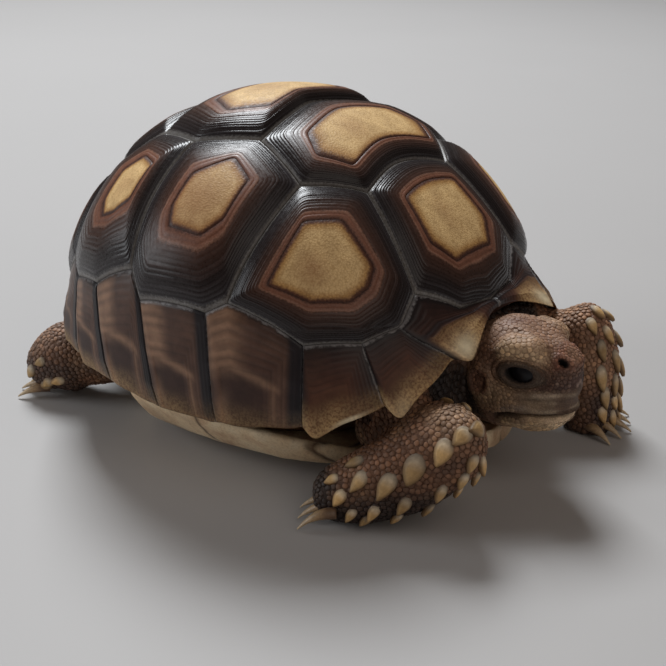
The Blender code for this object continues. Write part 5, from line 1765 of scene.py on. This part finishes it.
def addBigScales(coat, facts, found):
    form = bigScaleForm
    sides, rings = form["sides"], form["rings"]
    draw = np.random.default_rng(facts["seed"] + 50)
    turn = circle(sides)
    c, s = np.cos(turn), np.sin(turn)
    unit = body["halfLength"]
    for place, outward, along, length, width, lift, swing, share, angle in found:
        length, width = length * unit * draw.uniform(0.92, 1.08), width * unit * draw.uniform(0.92, 1.08)
        forward = along - outward * (along * outward).sum()
        forward /= np.linalg.norm(forward)
        across = np.cross(outward, forward)
        swing = math.radians(swing + draw.uniform(-8.0, 8.0))
        forward, across = (forward * math.cos(swing) + across * math.sin(swing),
                           across * math.cos(swing) - forward * math.sin(swing))
        x = length * (c + 0.10 * np.maximum(c, 0.0) ** 6)
        y = width * s * (1.0 - 0.30 * c - 0.12 * c ** 2)
        bend = 0.03 * np.sin(turn * 3.0 + draw.uniform(0.0, 6.28))
        x, y = x * (1.0 + bend), y * (1.0 + bend)
        verts, edges = [], []
        thick = form["thickness"] * unit
        slope = (x / length + 1.0) / 2.0 * lift * length
        steps = np.linspace(1.0, 0.10, rings)
        verts.append((x, y, slope - thick * 1.2))
        edges.append(1.0)
        for step in steps:
            domed = form["dome"] * width * (1.0 - step ** 2.6)
            ripple = form["ripple"] * width * math.cos(step * 22.0) * (step > 0.35)
            inner = (x * step / length + 1.0) / 2.0 * lift * length
            verts.append((x * step, y * step, inner + domed + ripple))
            edges.append(float(step))
        points = np.array([np.column_stack(np.broadcast_arrays(*row)) for row in verts]).reshape(-1, 3)
        middle = lift * length / 2.0
        points = np.vstack((points, (0.0, 0.0, middle + form["dome"] * width), (0.0, 0.0, -thick * 1.5)))
        world = place + forward * points[:, :1] + across * points[:, 1:2] + outward * points[:, 2:]
        world[:, 2] = np.maximum(world[:, 2], 0.0)
        edge = np.concatenate((np.repeat(edges, sides), (0.0, 1.0)))
        root = sheetPlace(facts["sheet"], np.array((share,)), np.array((angle,)))
        uvs = root + points[:, :2] / length * scaleForm["patch"] / 2.0
        # tan horn, paler at the root end
        pale = smooth(0.1, -0.9, points[:, 0] / length)[:, None]
        hue = draw.uniform(0.85, 1.12)
        marks = (np.array((0.50, 0.335, 0.155)) * (1.0 - pale) + np.array((0.62, 0.55, 0.44)) * pale) * hue
        coat.add(world, scaleFaces(rings + 1, sides), uvs, edge, np.full(len(points), draw.random()), marks)


def scaleFinish():
    finish, tree, shader = newFinish("scale_horn", 0.55, 0.4)
    tone = rampNode(tree, valueNode(tree, "tone"), [(0.0, (0.70, 0.68, 0.66)), (0.5, (1.0, 1.0, 1.0)),
                                                    (1.0, (1.45, 1.40, 1.30))])
    base = mixNode(tree, 1.0, markingNode(tree), tone, "MULTIPLY")
    # scales darken toward their rims and down their sides: painted shade in the gaps between scales, with
    # some dirt
    rim = rampNode(tree, valueNode(tree, "edge"), [(0.0, (1.08, 1.06, 1.02)), (0.6, (1.0, 0.98, 0.95)),
                                                   (1.0, (0.28, 0.235, 0.215))])
    base = mixNode(tree, 0.9, base, rim, "MULTIPLY")
    clouded = cloudNode(tree, 0.8, base, 1600.0, 3.0, (0.3, (0.75, 0.71, 0.66)), (0.7, (1.15, 1.12, 1.08)))
    tree.links.new(clouded, shader.inputs["Base Color"])
    tree.links.new(bumpNode(tree, noiseNode(tree, 9000.0, 3.0), 0.00005, 0.5), shader.inputs["Normal"])
    return finish


def buildCoats(finish):
    world, outward = seedPlaces(3)
    places = fromWorld(world)
    name, share, angle, lie = onLimbs(places)
    size = scaleSize(places, name)
    marks = markings(places, outward)
    for coatName, facts in coats.items():
        mine = np.isin(name, [limbNumbers[limb] for limb in facts["limbs"]])
        big = bigScalePlaces(coatName)
        unit = body["halfLength"]
        taken = [(found[0], found[4] * unit * 1.05) for found in big]
        taken += [(found[0] + found[2] * found[3] * unit * 0.5, found[4] * unit * 0.8) for found in big]
        kept = thinOut(world[mine], size[mine] * unit * 1.62, taken)
        index = np.flatnonzero(mine)[kept]
        coat = CoatMesh()
        part = share[index]
        step = 1.0 / len(facts["limbs"])      # each limb of the coat has its own part of the sheet
        for number, limb in enumerate(facts["limbs"]):
            part = np.where(name[index] == limbNumbers[limb], (number + 0.96 * part) * step, part)
        lieWorld = np.column_stack((-lie[index][:, 1], -lie[index][:, 0], lie[index][:, 2]))
        rise = scaleRise(places[index], name[index])
        addSmallScales(coat, facts, world[index], outward[index], size[index] * unit, rise, part,
                       angle[index], lieWorld, marks[index])
        if big:
            addBigScales(coat, facts, big)
        coat.finish(f"scales_{coatName}", "skin", finish)


skinTree = BVHTree.FromObject(skin, bpy.context.evaluated_depsgraph_get())
buildCoats(scaleFinish())


# Claws: root place, heading and spread in degrees, how many, width of the row, droop
clawRows = {
    "leg_front_right": ((0.545, 0.663, -0.125), 165.0, 50.0, 5, 0.20, 0.050),
    "leg_front_left": ((1.045, -0.560, -0.175), -8.0, 50.0, 5, 0.21, 0.040),
    "leg_rear_right": ((-0.990, 0.535, -0.070), 160.0, 45.0, 4, 0.17, 0.030),
    "leg_rear_left": ((-0.850, -0.650, -0.085), -112.0, 45.0, 4, 0.18, 0.035),
}
clawForm = {"length": 0.102, "radius": 0.0235, "tip": 0.0035, "sides": 16, "rows": 16}


def buildClaws(finish):
    form = clawForm
    sides = form["sides"]
    turn = circle(sides)
    for foot, (root, heading, spread, count, width, droop) in clawRows.items():
        verts, faces, along = [], [], []
        for index in range(count):
            place = index / (count - 1) - 0.5
            way = math.radians(heading + spread * place)
            middle = math.radians(heading)
            back = abs(place) * width * 0.35
            start = np.array((root[0] - math.sin(middle) * width * place - math.cos(middle) * back,
                              root[1] + math.cos(middle) * width * place - math.sin(middle) * back, root[2]))
            ahead = np.array((math.cos(way), math.sin(way), 0.0))
            aside = np.array((-math.sin(way), math.cos(way), 0.0))
            rings = []
            for share in np.linspace(-0.3, 1.0, form["rows"]):
                taper = max(1.0 - max(share, 0.0) ** 1.35, 0.0)
                radius = form["tip"] + (form["radius"] - form["tip"]) * taper
                centre = start + ahead * form["length"] * share
                centre = centre + np.array((0.0, 0.0, -droop * max(share, 0.0) ** 2))
                flat = radius * np.where(np.sin(turn) < 0.0, 0.70, 0.95) * np.sin(turn)
                rings.append(centre + aside * (radius * np.cos(turn))[:, None]
                             + np.array((0.0, 0.0, 1.0)) * flat[:, None])
                along.append(np.full(sides, share))
            clawVerts, clawFaces = ringsToMesh(np.array(rings))
            base = sum(len(v) for v in verts)
            verts.append(clawVerts)
            faces += [tuple(i + base for i in face) for face in clawFaces]
            along.append(np.array((-0.3, 1.0)))
        piece = newMesh(f"claws_{foot}", toWorld(np.concatenate(verts)), faces, finish)
        outwardFaces(piece)
        giveValue(piece, "along", np.concatenate(along))
        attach(piece, "root")


def clawFinish():
    finish, tree, shader = newFinish("claw_horn", 0.38, 0.5)
    base = rampNode(tree, valueNode(tree, "along"), [(0.0, (0.16, 0.095, 0.055)), (0.35, (0.40, 0.27, 0.15)),
                                                     (1.0, (0.60, 0.47, 0.30))])
    streaked = cloudNode(tree, 0.8, base, 2400.0, 3.0, (0.3, (0.6, 0.56, 0.52)), (0.7, (1.1, 1.08, 1.05)))
    tree.links.new(streaked, shader.inputs["Base Color"])
    tree.links.new(bumpNode(tree, noiseNode(tree, 5000.0, 2.0), 0.00004, 0.5), shader.inputs["Normal"])
    return finish


buildClaws(clawFinish())
print("claws built")


# Stage and camera. The camera's numbers are worked from the same least-squares match.
stage = {"floorSize": 8.0, "floorColor": (0.455, 0.440, 0.433), "world": 0.085}
camera = {"aim": (0.4835, 0.5201, 0.4248), "azimuth": -55.474, "elevation": 22.363, "roll": 1.280,
          "distance": 0.165, "lens": 64.28}


def buildStage():
    finish, tree, shader = newFinish("floor_paper", 0.55, 0.3)
    tone = rampNode(tree, noiseNode(tree, 12.0, 2.0),
                    [(0.0, stage["floorColor"]), (1.0, tuple(c * 0.96 for c in stage["floorColor"]))])
    tree.links.new(tone, shader.inputs["Base Color"])
    half = stage["floorSize"] / 2.0
    floor = newMesh("floor", [(-half, -half, 0.0), (half, -half, 0.0), (half, half, 0.0), (-half, half, 0.0)],
                    [(0, 1, 2, 3)], finish, flat=True)
    floor.location.z = -0.00005
    world = bpy.data.worlds.new("room")
    world.use_nodes = True
    background = world.node_tree.nodes["Background"]
    background.inputs["Color"].default_value = (1.0, 0.88, 0.80, 1.0)
    background.inputs["Strength"].default_value = stage["world"]
    bpy.context.scene.world = world
    bpy.context.scene.view_settings.view_transform = "Standard"


def addLight(name, place, aim, size, power, color):
    light = bpy.data.lights.new(name, "AREA")
    light.size = size
    light.energy = power
    light.color = color
    lamp = addObject(name, light)
    lamp.location = place
    lamp.rotation_mode = "QUATERNION"
    lamp.rotation_quaternion = (Vector(aim) - Vector(place)).to_track_quat("-Z", "Y")


def buildCamera():
    azimuth, elevation = math.radians(camera["azimuth"]), math.radians(camera["elevation"])
    back = Vector((math.sin(azimuth) * math.cos(elevation),
                   -math.cos(azimuth) * math.cos(elevation), math.sin(elevation)))
    aim = Vector(toWorld(camera["aim"])[0])
    lens = bpy.data.cameras.new("camera")
    lens.lens = camera["lens"]
    lens.clip_start = 0.005
    seen = addObject("camera", lens)
    seen.rotation_mode = "QUATERNION"
    turn = (-back).to_track_quat("-Z", "Y")
    roll = Matrix.Rotation(math.radians(camera["roll"]), 4, "Z").to_quaternion()
    seen.rotation_quaternion = turn @ roll
    seen.location = aim + back * camera["distance"]
    bpy.context.scene.camera = seen


buildStage()
buildCamera()
middle = (cadLow + cadHigh) / 2.0
away = Vector((0.824, 0.567, 0.0))          # level, away from the camera
across = Vector((0.574, -0.819, 0.0))       # level, to the picture's right
addLight("window", middle + away * 0.52 - across * 0.14 + Vector((0.0, 0.0, 0.72)), middle, 0.36, 9.0,
         (0.93, 0.97, 1.0))
addLight("side_window", middle - across * 0.60 - away * 0.05 + Vector((0.0, 0.0, 0.22)), middle, 0.35, 1.3,
         (0.92, 0.96, 1.0))
addLight("fill", middle - away * 0.45 + across * 0.30 + Vector((0.0, 0.0, 0.45)), middle, 0.6, 0.9,
         (1.0, 0.90, 0.82))
print("stage set")
